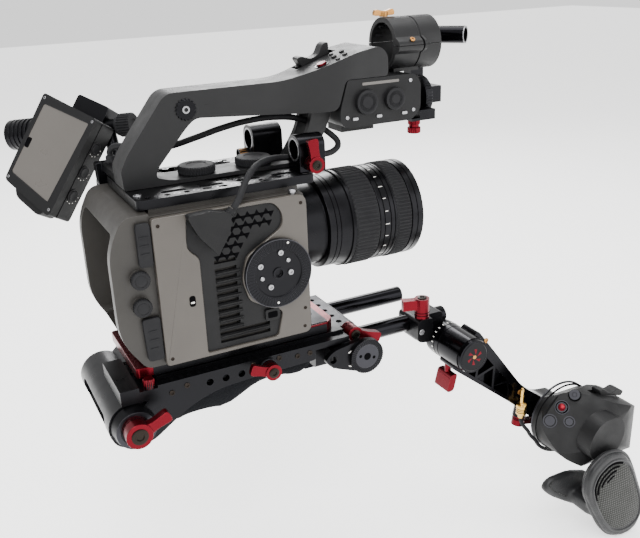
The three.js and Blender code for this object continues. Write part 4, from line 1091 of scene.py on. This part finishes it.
# ------------------------------------------------------------------ base
@dataclass
class Baseplate:
    """The shoulder base: frame, rods, rosette, wedge and foam pad."""

    rail_y: float = -60.0
    tube: Tuple[float, float] = (1, -39)
    rosette: Tuple[float, float] = (195, -29)
    deck: float = -9.2

    def make(self) -> None:
        """Builds and dresses the base."""
        dress({
            "base_frame": (BLACK_ANODISED, Slot.BLACK, 0.5),
            "right_rod": (GLOSS_ANODISED, Slot.BLACK, 0.8),
            "left_rod": (GLOSS_ANODISED, Slot.BLACK, 0.8),
            "tripod_wedge": (GREY_ANODISED, Slot.GREY, 0.4),
            "accessory_rosette": (BLACK_ANODISED, Slot.BLACK, 0.5),
        })
        self.frame_detail()
        self.rosette_detail()
        self.foam()

    def frame_detail(self) -> None:
        """Adds the decks, the plate's strip and cover, the lock knob, rings and screws."""
        Form().prism(Seat((187.5, -7.7, self.deck)), rounded(18, 70, 1.2), -0.4, 0.12).piece(
            "front_deck_top", "base", GREY_ANODISED, Slot.GREY)
        slots = Form()
        for i in range(17):
            slots.prism(Seat((34 + 7 * i, -55, -11)), rounded(3.4, 6.6, 1.4), -0.4, 0.1)
        for i in range(5):
            slots.prism(Seat((187.5, -34 + 13 * i, self.deck)), rounded(5, 5, 2.4), -0.3, 0.25)
        slots.piece("deck_slots", "base", HOLLOW, Slot.BLACK)
        Form().prism(Seat((96, -48.05, -4.75), (0, -1, 0), (1, 0, 0)), rounded(146, 6.8, 0.8), -0.3,
                     0.4).piece("plate_side_strip", "camera", BLACK_ANODISED, Slot.BLACK)
        cover = Seat((163, -9, 0))
        Form().prism(cover, rounded(16, 74, 1.5), -0.4, 0.2).piece(
            "plate_front_cover", "camera", GREY_ANODISED, Slot.GREY)
        Form().prism(cover, rounded(6, 40, 2.9), 0.0, 0.3).piece(
            "plate_front_slot", "camera", HOLLOW, Slot.BLACK)
        Form().tube([(196.3, -42, self.deck + 0.1), (196.3, 27, self.deck + 0.1)], 0.35, 6).piece(
            "front_deck_line", "base", PLATED_STEEL, Slot.GREY)
        x, z = self.tube
        Form().turned(Seat((x, -67.4, z), (0, -1, 0), (1, 0, 0)), ring(14.9, 11.6, -1, 0.15), 48,
                      loop=True).piece("tube_end_ring", "base", GREY_ANODISED, Slot.GREY, 0.2)
        Form().turned(Seat((16.5, -56, -14)), [(0, 0), (4.0, 0), (4.0, 3.4), (4.3, 4), (4.3, 8.2), (3.6, 8.7),
                                               (0, 8.7)], teeth=16, depth=0.4).piece(
            "lock_knob", "base", RED_ANODISED, Slot.RED)
        screws = Form()
        for sx, sz in ((32, -20), (44, -17), (136, -17), (147, -17), (98, -14.5), (120, -14.5)):
            screws.turned(Seat((sx, self.rail_y, sz), (0, -1, 0), (1, 0, 0)), screw(2.2, 0.7), 20)
        screws.piece("rail_screws", "base", BLACK_OXIDE, Slot.BLACK)
        rings = Form()
        for y, end in ((-30, 297), (30, 288)):
            rings.turned(Seat((end, y, -29), (1, 0, 0), (0, 0, 1)), ring(6.6, 3.2, -0.6, 0.12), 36, loop=True)
        rings.piece("rod_end_rings", "base", PLATED_STEEL, Slot.BLACK, 0.1)
        bores = Form()
        for y in (-30, 30):
            bores.turned(Seat((183, y, -29), (1, 0, 0), (0, 0, 1)), ring(9.6, 7.9, -0.5, 0.4), 36, loop=True)
        bores.piece("rod_bore_rings", "base", GREY_ANODISED, Slot.BLACK, 0.15)
        Form().turned(Seat((109, -65.3, -18), (0, -1, 0), (1, 0, 0)), ring(7.2, 5.6, -2.4, -0.8), 32,
                      loop=True).piece("side_lever_washer", "base", GREY_ANODISED, Slot.BLACK, 0.15)

    def rosette_detail(self) -> None:
        """Adds the accessory rosette's teeth, holes and pale index dashes."""
        x, z = self.rosette
        face = Seat((x, -69, z), (0, -1, 0), (1, 0, 0))
        teeth = Form()
        count = 48
        for i in range(count):
            angle = 2 * math.pi * i / count
            out = (math.cos(angle), 0, math.sin(angle))
            tooth = Seat(face.shifted(13.2 * math.cos(angle), 13.2 * math.sin(angle), -0.1).at, (0, -1, 0),
                         out)
            teeth.prism(tooth, [(-1.9, -0.35), (1.9, -0.55), (1.9, 0.55), (-1.9, 0.35)], -0.2, 0.4)
        teeth.piece("base_rosette_teeth", "base", BLACK_ANODISED, Slot.BLACK)
        Form().turned(face, disc(10.6, -0.2, 0.1, 0.05), 40).piece(
            "base_rosette_face", "base", GREY_ANODISED, Slot.GREY)
        holes = Form()
        for a, b, radius in ((0, 0, 3.2), (-6.4, 1.5, 1.4), (6.2, -2.2, 1.4)):
            holes.turned(face.shifted(a, b), disc(radius, -0.1, 0.2, 0.05), 24)
        holes.piece("base_rosette_holes", "base", HOLLOW, Slot.BLACK)
        dashes = Form()
        for a, b in ((-14.6, 6.5), (-14.6, -6.5)):
            dashes.prism(Seat((x + a, -66, z + b), (0, -1, 0), (0.9, 0, b / 16)), rounded(3.4, 0.9, 0.4, 2),
                         -0.2, 0.14)
        dashes.piece("base_rosette_dashes", "base", WHITE_MARK, Slot.BLACK)

    def foam(self) -> None:
        """Carves the foam pad: the CAD block with full, softly rolled edges."""
        form = Form()
        form.bm.from_mesh(frame["nodes"]["shoulder_pad"].data)
        bmesh.ops.remove_doubles(form.bm, verts=form.bm.verts, dist=0.02 * MM)
        bmesh.ops.dissolve_limit(form.bm, angle_limit=math.radians(1.5), verts=form.bm.verts,
                                 edges=form.bm.edges, delimit=set())
        pad = form.piece("shoulder_pad_foam", "base", CELL_FOAM, Slot.FOAM, 0.0, ["shoulder_pad"])
        remesh = pad.modifiers.new("even_mesh", "REMESH")
        remesh.mode, remesh.voxel_size, remesh.use_smooth_shade = "VOXEL", 2.0 * MM, True
        smooth = pad.modifiers.new("rolled_edges", "SMOOTH")
        smooth.factor, smooth.iterations = 0.6, 14
        swell = pad.modifiers.new("full_sides", "DISPLACE")
        swell.strength, swell.mid_level = 0.5 * MM, 0.0


# ------------------------------------------------------------------ extension arm
@dataclass
class ExtensionArm:
    """The arm that carries the grip: rod clamp, drum, truss and trigger."""

    drum: Tuple[float, float] = (290, -46.5)
    drum_y: float = -88.0
    drum_radius: float = 16.5
    index_y: float = -48.4
    index_count: int = 22

    def make(self) -> None:
        """Builds and dresses the arm."""
        dress({
            "arm_rod_clamp": (BLACK_ANODISED, Slot.BLACK, 0.5),
            "extension_arm": (GLOSS_ANODISED, Slot.BLACK, 0.5),
            "trigger": (RED_ANODISED, Slot.RED, 0.7),
        })
        x, z = self.drum
        cap = Seat((x, self.drum_y, z), (0, -1, 0), (1, 0, 0))
        Form().turned(cap, [(0, -1), (13.4, -1), (13.4, 0.1), (12.8, 0.5), (0, 0.5)], 48).piece(
            "drum_cap_face", "arm", BLACK_ANODISED, Slot.BLACK)
        Form().turned(cap, disc(1.8, 0.3, 0.9, 0.2), 24).piece(
            "drum_cap_boss", "arm", BRONZE, Slot.BRASS)
        emblem = Form()
        for i in range(6):
            emblem.prism(cap.shifted(0, 0, 0), [(r * math.cos(a), r * math.sin(a)) for r, a in (
                (2.4, math.radians(60 * i)), (7.4, math.radians(60 * i + 12)),
                (7.4, math.radians(60 * i + 34)))], 0.3, 0.62)
        emblem.piece("drum_cap_star", "arm", RED_ANODISED, Slot.RED)
        grooves = Form()
        for y in (-50.5, -56.4):
            grooves.turned(Seat((x, y, z), (0, -1, 0), (1, 0, 0)), ring(16.56, 15.9, 0, 0.8), 56, loop=True)
        grooves.piece("drum_grooves", "arm", HOLLOW, Slot.BLACK)
        dots = Form()
        for i in range(self.index_count):
            angle = 2 * math.pi * (i + 0.5) / self.index_count
            out = (math.cos(angle), 0, math.sin(angle))
            spot = (x + self.drum_radius * out[0], self.index_y, z + self.drum_radius * out[2])
            dots.prism(Seat(spot, out, (0, 1, 0)), rounded(2.2, 1.0, 0.4, 2), -0.3, 0.12)
        dots.piece("drum_index_dots", "arm", WHITE_MARK, Slot.BLACK)
        screws = Form()
        for sx, sz in ((310, -40), (352, -104), (377, -130), (401, -132)):
            screws.turned(Seat((sx, -78, sz), (0, -1, 0), (1, 0, 0)), screw(2.4, 0.8), 22)
        screws.piece("arm_screws", "arm", BRONZE, Slot.BRASS)
        Form().turned(Seat((261, -50.5, -31), (0, -1, 0), (1, 0, 0)), screw(2.6, 0.9), 22).piece(
            "arm_clamp_screw", "arm_clamp", PLATED_STEEL, Slot.BLACK)
        ribs = Form()
        for i in range(4):
            ribs.prism(Seat((277.2, -62, -72.5 - 3 * i), (-0.96, 0, 0.27), (0, 1, 0)),
                       rounded(17, 1.1, 0.5, 2), -0.8, 0.5)
        ribs.piece("trigger_ribs", "trigger", RED_ANODISED, Slot.RED)


# ------------------------------------------------------------------ hand grip
@dataclass
class HandGrip:
    """The hand grip: its body, thumb controls, leather cuff and padded strap panel."""

    pivot: Tuple[float, float] = (398, -138)
    thumb_at: Point = (383, -103, -116)
    thumb_out: Point = (-0.62, -0.55, 0.56)
    panel_outline: Tuple[Tuple[float, float], ...] = (
        (368, -168), (372, -153), (381, -145), (391, -141), (404, -143), (415, -151), (423, -164),
        (431, -182), (439, -202), (442, -218), (440, -229), (432, -236), (418, -238), (403, -232),
        (391, -219), (382, -204), (374, -188))
    panel_y: float = -152.0
    panel_rise: float = 6.6
    mouth_reach: Tuple[Tuple[float, int, int], ...] = (
        (0.79, -3, 18), (0.71, -1, 16), (0.63, 2, 14), (0.55, 5, 12))

    def thumb(self, a: float, b: float, lift: float = 0.0) -> Seat:
        """Returns a seat on the sloping thumb face."""
        out = Vector(self.thumb_out).normalized()
        right = Vector((0, 0, 1)).cross(out).normalized()
        return Seat(self.thumb_at, self.thumb_out, tuple(right)).shifted(a, b, lift)

    def make(self) -> None:
        """Builds and dresses the grip."""
        dress({
            "grip_body": (TEXTURED_ABS, Slot.DARK, 1.2),
            "grip_zoom_rocker": (SOFT_NYLON, Slot.SOFT, 0.5),
        })
        self.controls()
        self.base_ring()
        self.strap()

    def controls(self) -> None:
        """Makes the record button, the dial and the small round buttons."""
        seat = self.thumb(-1, -1)
        Form().turned(seat, [(0, -2.4), (5.2, -2.4), (5.2, 1.2), (4.6, 1.8), (3.7, 1.8), (3.5, 1.3),
                             (0, 1.3)], 36).piece(
            "grip_record_button_cap", "grip_record_button", GLOSS_ANODISED, Slot.DARK, 0.0,
            ["grip_record_button"])
        Form().turned(seat, [(0, 1.0), (3.3, 1.0), (3.3, 1.9), (2.6, 2.2), (0, 2.3)], 32).piece(
            "grip_record_button_red", "grip_record_button", RED_ANODISED, Slot.RED)
        Form().turned(seat, ring(6.9, 5.65, -0.4, 0.6), 40, loop=True).piece(
            "grip_record_collar", "grip", GLOSS_ANODISED, Slot.DARK, 0.2)
        Form().turned(self.thumb(9, 12), [(0, -2.4), (5.4, -2.4), (5.5, 0.4), (5.5, 3.2), (4.7, 4.0),
                                          (2.2, 4.1), (1.8, 3.6), (0, 3.6)], teeth=22, depth=0.5).piece(
            "grip_dial_knurled", "grip_dial", GLOSS_ANODISED, Slot.DARK, 0.0, ["grip_dial"])
        rims = Form()
        for a, b, radius in ((7, -13, 4.6), (-10, -15, 5.8)):
            rims.turned(self.thumb(a, b), ring(radius + 0.7, radius - 0.3, 0.2, 0.55), 32, loop=True)
            rims.turned(self.thumb(a, b), disc(radius - 0.9, 0.6, 1.35, 0.4), 28)
        rims.piece("grip_button_rims", "grip", GLOSS_ANODISED, Slot.DARK)

    def base_ring(self) -> None:
        """Adds a grey ring as a painted highlight along the round base's edge, and its seam."""
        x, z = self.pivot
        seat = Seat((x, -82.5, z), (0, -1, 0), (1, 0, 0))
        # A grey ring painted as the highlight along the base's rim.
        Form().turned(seat, ring(34.15, 32.5, 0.6, 2.0), 72, loop=True).piece(
            "grip_base_rim_highlight", "grip", GREY_ANODISED, Slot.DARK, 0.1)
        Form().turned(seat, ring(34.2, 32.5, 6.6, 7.4), 72, loop=True).piece(
            "grip_base_seam", "grip", HOLLOW, Slot.DARK)

    def panel_ring(self, share: float, y: float) -> List[Point]:
        """Returns the strap panel's outline drawn in by a share, at a depth."""
        cx = sum(p[0] for p in self.panel_outline) / len(self.panel_outline)
        cz = sum(p[1] for p in self.panel_outline) / len(self.panel_outline)
        return [(cx + (px - cx) * share, y, cz + (pz - cz) * share) for px, pz in smooth_loop(
            self.panel_outline, 4)]

    def crown(self, share: float) -> float:
        """Returns how far the strap panel stands proud at a share of its outline."""
        return self.panel_rise * (1 - share ** 4) ** 0.5

    def strap(self) -> None:
        """Makes the leather cuff, the crowned padded panel, its piping and pocket mouth."""
        form = Form()
        form.bm.from_mesh(frame["nodes"]["hand_strap"].data)
        bmesh.ops.remove_doubles(form.bm, verts=form.bm.verts, dist=0.02 * MM)
        bmesh.ops.dissolve_limit(form.bm, angle_limit=math.radians(1.5), verts=form.bm.verts,
                                 edges=form.bm.edges, delimit=set())
        cuff = form.piece("hand_strap_cuff", "grip", SMOOTH_LEATHER, Slot.LEATHER, 0.0, ["hand_strap"])
        remesh = cuff.modifiers.new("even_mesh", "REMESH")
        remesh.mode, remesh.voxel_size, remesh.use_smooth_shade = "VOXEL", 1.6 * MM, True
        smooth = cuff.modifiers.new("soft_edges", "SMOOTH")
        smooth.factor, smooth.iterations = 0.6, 10
        panel = Form()
        rows = [(0.97, 0.0)] + [(share, self.crown(share)) for share in
                                (0.94, 0.86, 0.74, 0.56, 0.34, 0.12)]
        loops = [self.panel_ring(s, self.panel_y - h) for s, h in rows]
        loops = [self.panel_ring(s, self.panel_y + h * 0.6) for s, h in reversed(rows[1:])] + loops
        rings = [[panel.bm.verts.new(rig_point(p)) for p in loop] for loop in loops]
        for first, second in zip(rings, rings[1:]):
            for k in range(len(first)):
                m = (k + 1) % len(first)
                panel.bm.faces.new([first[k], first[m], second[m], second[k]])
        panel.bm.faces.new(list(reversed(rings[0])))
        panel.bm.faces.new(rings[-1])
        cloth = panel.piece("strap_panel_pad", "grip", PACK_CLOTH, Slot.LEATHER)
        Form().tube(self.panel_ring(1.0, self.panel_y), 1.9, 10, closed=True).piece(
            "strap_outer_piping", "grip", SMOOTH_LEATHER, Slot.LEATHER)
        Form().tube(self.panel_ring(0.86, self.panel_y - 4.6), 1.3, 10, closed=True).piece(
            "strap_inner_piping", "grip", SMOOTH_LEATHER, Slot.LEATHER)
        stitches = Form()
        loop = self.panel_ring(0.92, self.panel_y - 4.0)
        for i in range(0, len(loop), 2):
            stitches.tube([loop[i], loop[(i + 1) % len(loop)]], 0.34, 6)
        stitches.piece("strap_stitches", "grip", PACK_CLOTH, Slot.LEATHER)
        mouth = Form()
        for share, first, last in self.mouth_reach:
            loop = self.panel_ring(share, self.panel_y - self.crown(share) + 1.5)
            mouth.tube([loop[k % len(loop)] for k in range(first, last)], 1.9, 10)
        mouth.piece("strap_pocket_mouth", "grip", HOLLOW, Slot.LEATHER)
        edge = [(352, -126.2, -175), (348, -126.2, -180), (355, -126.2, -187.5), (366, -126.2, -196),
                (377, -126.2, -204)]
        seam = Form()
        for start, end in zip(edge, edge[1:]):
            for k in range(4):
                ends = [tuple(a + (b - a) * share for a, b in zip(start, end))
                        for share in (k / 4, (k + 0.62) / 4)]
                seam.tube([(x + 3.0, y, z + 1.6) for x, y, z in ends], 0.4, 6)
        seam.piece("cuff_seam_stitches", "grip", PACK_CLOTH, Slot.LEATHER)


def smooth_loop(points: Sequence[Tuple[float, float]], steps: int) -> List[Tuple[float, float]]:
    """Returns a closed smooth curve through points, with steps points to each span."""
    count = len(points)
    curve = []
    for i in range(count):
        p0, p1, p2, p3 = (points[(i + k) % count] for k in (-1, 0, 1, 2))
        for s in range(steps):
            t = s / steps
            curve.append(tuple(0.5 * (2 * b + (c - a) * t + (2 * a - 5 * b + 4 * c - d) * t * t
                                      + (3 * b - a - 3 * c + d) * t ** 3)
                               for a, b, c, d in zip(p0, p1, p2, p3)))
    return curve


# ------------------------------------------------------------------ cords
@dataclass
class Cords:
    """The monitor's cable and the grip's lead, on the same routes as their CAD solids."""

    cable_radius: float = 2.5
    lead_radius: float = 1.8
    cable_length: float = 345.1
    lead_length: float = 75.6
    wrap_radius: float = 36.4
    pivot: Tuple[float, float] = (398, -138)
    cable_route: Tuple[Point, ...] = (
        (34, 58, 137.8), (34, 58, 140.4), (36.5, 54.5, 144.6), (43, 46, 146), (56, 30, 144.5),
        (72, 20.5, 146.5), (92, 14, 152), (113, 9, 158), (134, 4, 162), (156, 1, 162.6),
        (174, 0, 159.5), (189, -2, 152.5), (200, -6.5, 144.5), (203.5, -11.5, 138),
        (198, -15.6, 133.5), (184, -16.4, 131.7), (166, -15.6, 132.2), (152, -15.4, 133.6),
        (144, -17.6, 134.6), (136, -21.8, 135), (126, -28.5, 134.8), (116, -38.5, 132.6),
        (108, -47, 129), (101, -54.5, 123.5), (95.5, -60, 118.6), (92.6, -62, 116.1),
        (90.5, -62, 114.1))

    def lead_route(self) -> List[Point]:
        """Returns the lead's points: round the grip's base, then up into the plug."""
        x, z = self.pivot
        points = [(x + self.wrap_radius * math.cos(math.radians(turn)), -88.0,
                   z + self.wrap_radius * math.sin(math.radians(turn)))
                  for turn in (-84, -98, -112, -126, -140, -152)]
        return points + [(359.6, -87.6, -147.5), (356.5, -87, -142), (352.6, -85.4, -136.4),
                         (350.9, -84, -132.4), (350.4, -83.5, -129.5), (350.4, -83.5, -127.9)]

    def curve(self, name: str, points: Sequence[Point], radius: float, body: str,
              node: str) -> bpy.types.Object:
        """Makes a cord as one smooth open curve that stands for its CAD node.

        Args:
            name: the piece's name.
            points: its route in working axes.
            radius: its radius in millimetres.
            body: the body it rides on.
            node: the CAD node that it replaces.

        Returns:
            The curve object.
        """
        data = bpy.data.curves.new(name, "CURVE")
        data.dimensions = "3D"
        data.bevel_depth = radius * MM
        data.bevel_resolution = 5
        data.resolution_u = 8
        data.use_fill_caps = True
        spline = data.splines.new("BEZIER")
        spline.bezier_points.add(len(points) - 1)
        for spot, point in zip(spline.bezier_points, points):
            spot.co = rig_point(point)
            spot.handle_left_type = spot.handle_right_type = "AUTO"
        made = bpy.data.objects.new(name, data)
        bpy.context.scene.collection.objects.link(made)
        made.data.materials.append(SILICONE.build())
        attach(made, body)
        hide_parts(node)
        log.info("%s rides on %s", name, body)
        return made

    def make(self) -> None:
        """Builds the cable, the lead, their plugs and strain reliefs."""
        dress({"monitor_cable_plug": (TEXTURED_ABS, Slot.DARK, 0.8)})
        cable = self.curve("monitor_cable_sheath", self.cable_route, self.cable_radius, "camera",
                           "monitor_cable")
        relief = Form()
        for i in range(6):
            seat = Seat((83.5 + 1.15 * i, -62, 107.4 + 1.1 * i), (0.72, 0, 0.69), (0, 1, 0))
            relief.turned(seat, ring(4.1 - 0.16 * i, 2.5, 0, 0.9), 28, loop=True)
        relief_piece = relief.piece("cable_strain_relief", "camera", SILICONE, Slot.DARK, 0.1)
        gland = Form().turned(Seat((34, 58, 132)), [
            (0, -0.4), (4.9, -0.4), (4.9, 1.6), (3.9, 2.4), (3.9, 4.6), (3.3, 5.6), (0, 5.6)], teeth=12,
            depth=0.5).piece("cable_gland", "camera", SILICONE, Slot.RUBBER)
        route = self.lead_route()
        lead = self.curve("grip_lead_sheath", route, self.lead_radius, "arm", "grip_lead")
        plug = Form()
        base = Seat((350.4, -83.5, -127.5))
        plug.turned(base, [(0, 0), (2.6, 0), (3.2, 3), (4.6, 4), (4.8, 4.4), (4.8, 13.4), (4.3, 14.2),
                           (2.4, 14.6), (1.75, 15), (1.75, 22), (1.4, 22.3), (1.4, 22.8), (1.75, 23.1),
                           (1.75, 28.4), (0.8, 30.6), (0, 31)], 28)
        gold = plug.piece("lead_plug_gold", "arm", GOLD_PLATE, Slot.GOLD, 0.0, ["lead_plug"])
        rings = Form()
        for height in (6.2, 8.0, 9.8):
            rings.turned(base.shifted(0, 0, height), ring(4.86, 4.3, 0, 0.7), 32, loop=True)
        knurl = rings.piece("lead_plug_grooves", "arm", HOLLOW, Slot.GOLD)


# ------------------------------------------------------------------ studio
@dataclass
class Studio:
    """The pale floor, soft lights and the camera."""

    eye: Point = (-98.9, -581.6, 276.1)
    azimuth: float = -26.3
    elevation: float = 21.0
    roll: float = -2.2
    lens: float = 45.0
    floor_z: float = -239.5

    def camera(self) -> None:
        """Sets the camera at the reference viewing angle."""
        turn, lift, tip = (math.radians(v) for v in (self.azimuth, self.elevation, self.roll))
        back = Vector((math.sin(turn) * math.cos(lift), -math.cos(turn) * math.cos(lift), math.sin(lift)))
        right = Vector((math.cos(turn), math.sin(turn), 0))
        up = back.cross(right)
        axes = (right * math.cos(tip) + up * math.sin(tip), up * math.cos(tip) - right * math.sin(tip), back)
        data = bpy.data.cameras.new("view_camera")
        data.lens, data.sensor_width = self.lens, 36.0
        data.clip_start, data.clip_end = 0.01, 50.0
        made = bpy.data.objects.new("view_camera", data)
        bpy.context.scene.collection.objects.link(made)
        made.matrix_world = Matrix.Translation(rig_point(self.eye)) @ Matrix(axes).transposed().to_4x4()
        bpy.context.scene.camera = made

    def floor(self) -> None:
        """Lays a wide pale floor under the rig."""
        mesh = bpy.data.meshes.new("studio_floor")
        form = bmesh.new()
        bmesh.ops.create_grid(form, x_segments=8, y_segments=8, size=6.0)
        form.to_mesh(mesh)
        form.free()
        made = bpy.data.objects.new("studio_floor", mesh)
        made.location = (0, 0, rig_point((0, 0, self.floor_z)).z)
        made.data.materials.append(STUDIO_PAPER.build())
        bpy.context.scene.collection.objects.link(made)

    def lights(self) -> None:
        """Hangs a big soft key, a fill, a rim light and an even pale world."""
        world = bpy.data.worlds.new("studio_world")
        world.use_nodes = True
        world.node_tree.nodes["Background"].inputs["Color"].default_value = (1, 1, 1, 1)
        world.node_tree.nodes["Background"].inputs["Strength"].default_value = 1.3
        bpy.context.scene.world = world
        aim = rig_point((150, -20, 20))
        for name, spot, size, power in (
                ("key_softbox", (-0.7, -1.1, 1.3), 1.1, 46), ("fill_softbox", (1.2, -1.3, 0.5), 1.2, 18),
                ("top_softbox", (0.2, 0.2, 1.6), 1.4, 34), ("rim_strip", (0.6, 1.4, 0.8), 0.7, 16)):
            data = bpy.data.lights.new(name, "AREA")
            data.energy, data.size = power, size
            made = bpy.data.objects.new(name, data)
            made.location = aim + Vector(spot)
            made.rotation_euler = (aim - made.location).to_track_quat("-Z", "Y").to_euler()
            bpy.context.scene.collection.objects.link(made)

    def make(self) -> None:
        """Sets up the studio."""
        self.camera()
        self.floor()
        self.lights()


def main() -> None:
    """Builds every sub-assembly in order."""
    Studio().make()
    Cords().make()
    for part in (CameraBody(), Lens(), TopHandle(), AudioUnit(), Monitor(), *LEVERS, Baseplate(),
                 ExtensionArm(), HandGrip()):
        part.make()


if __name__ == "__main__":
    main()
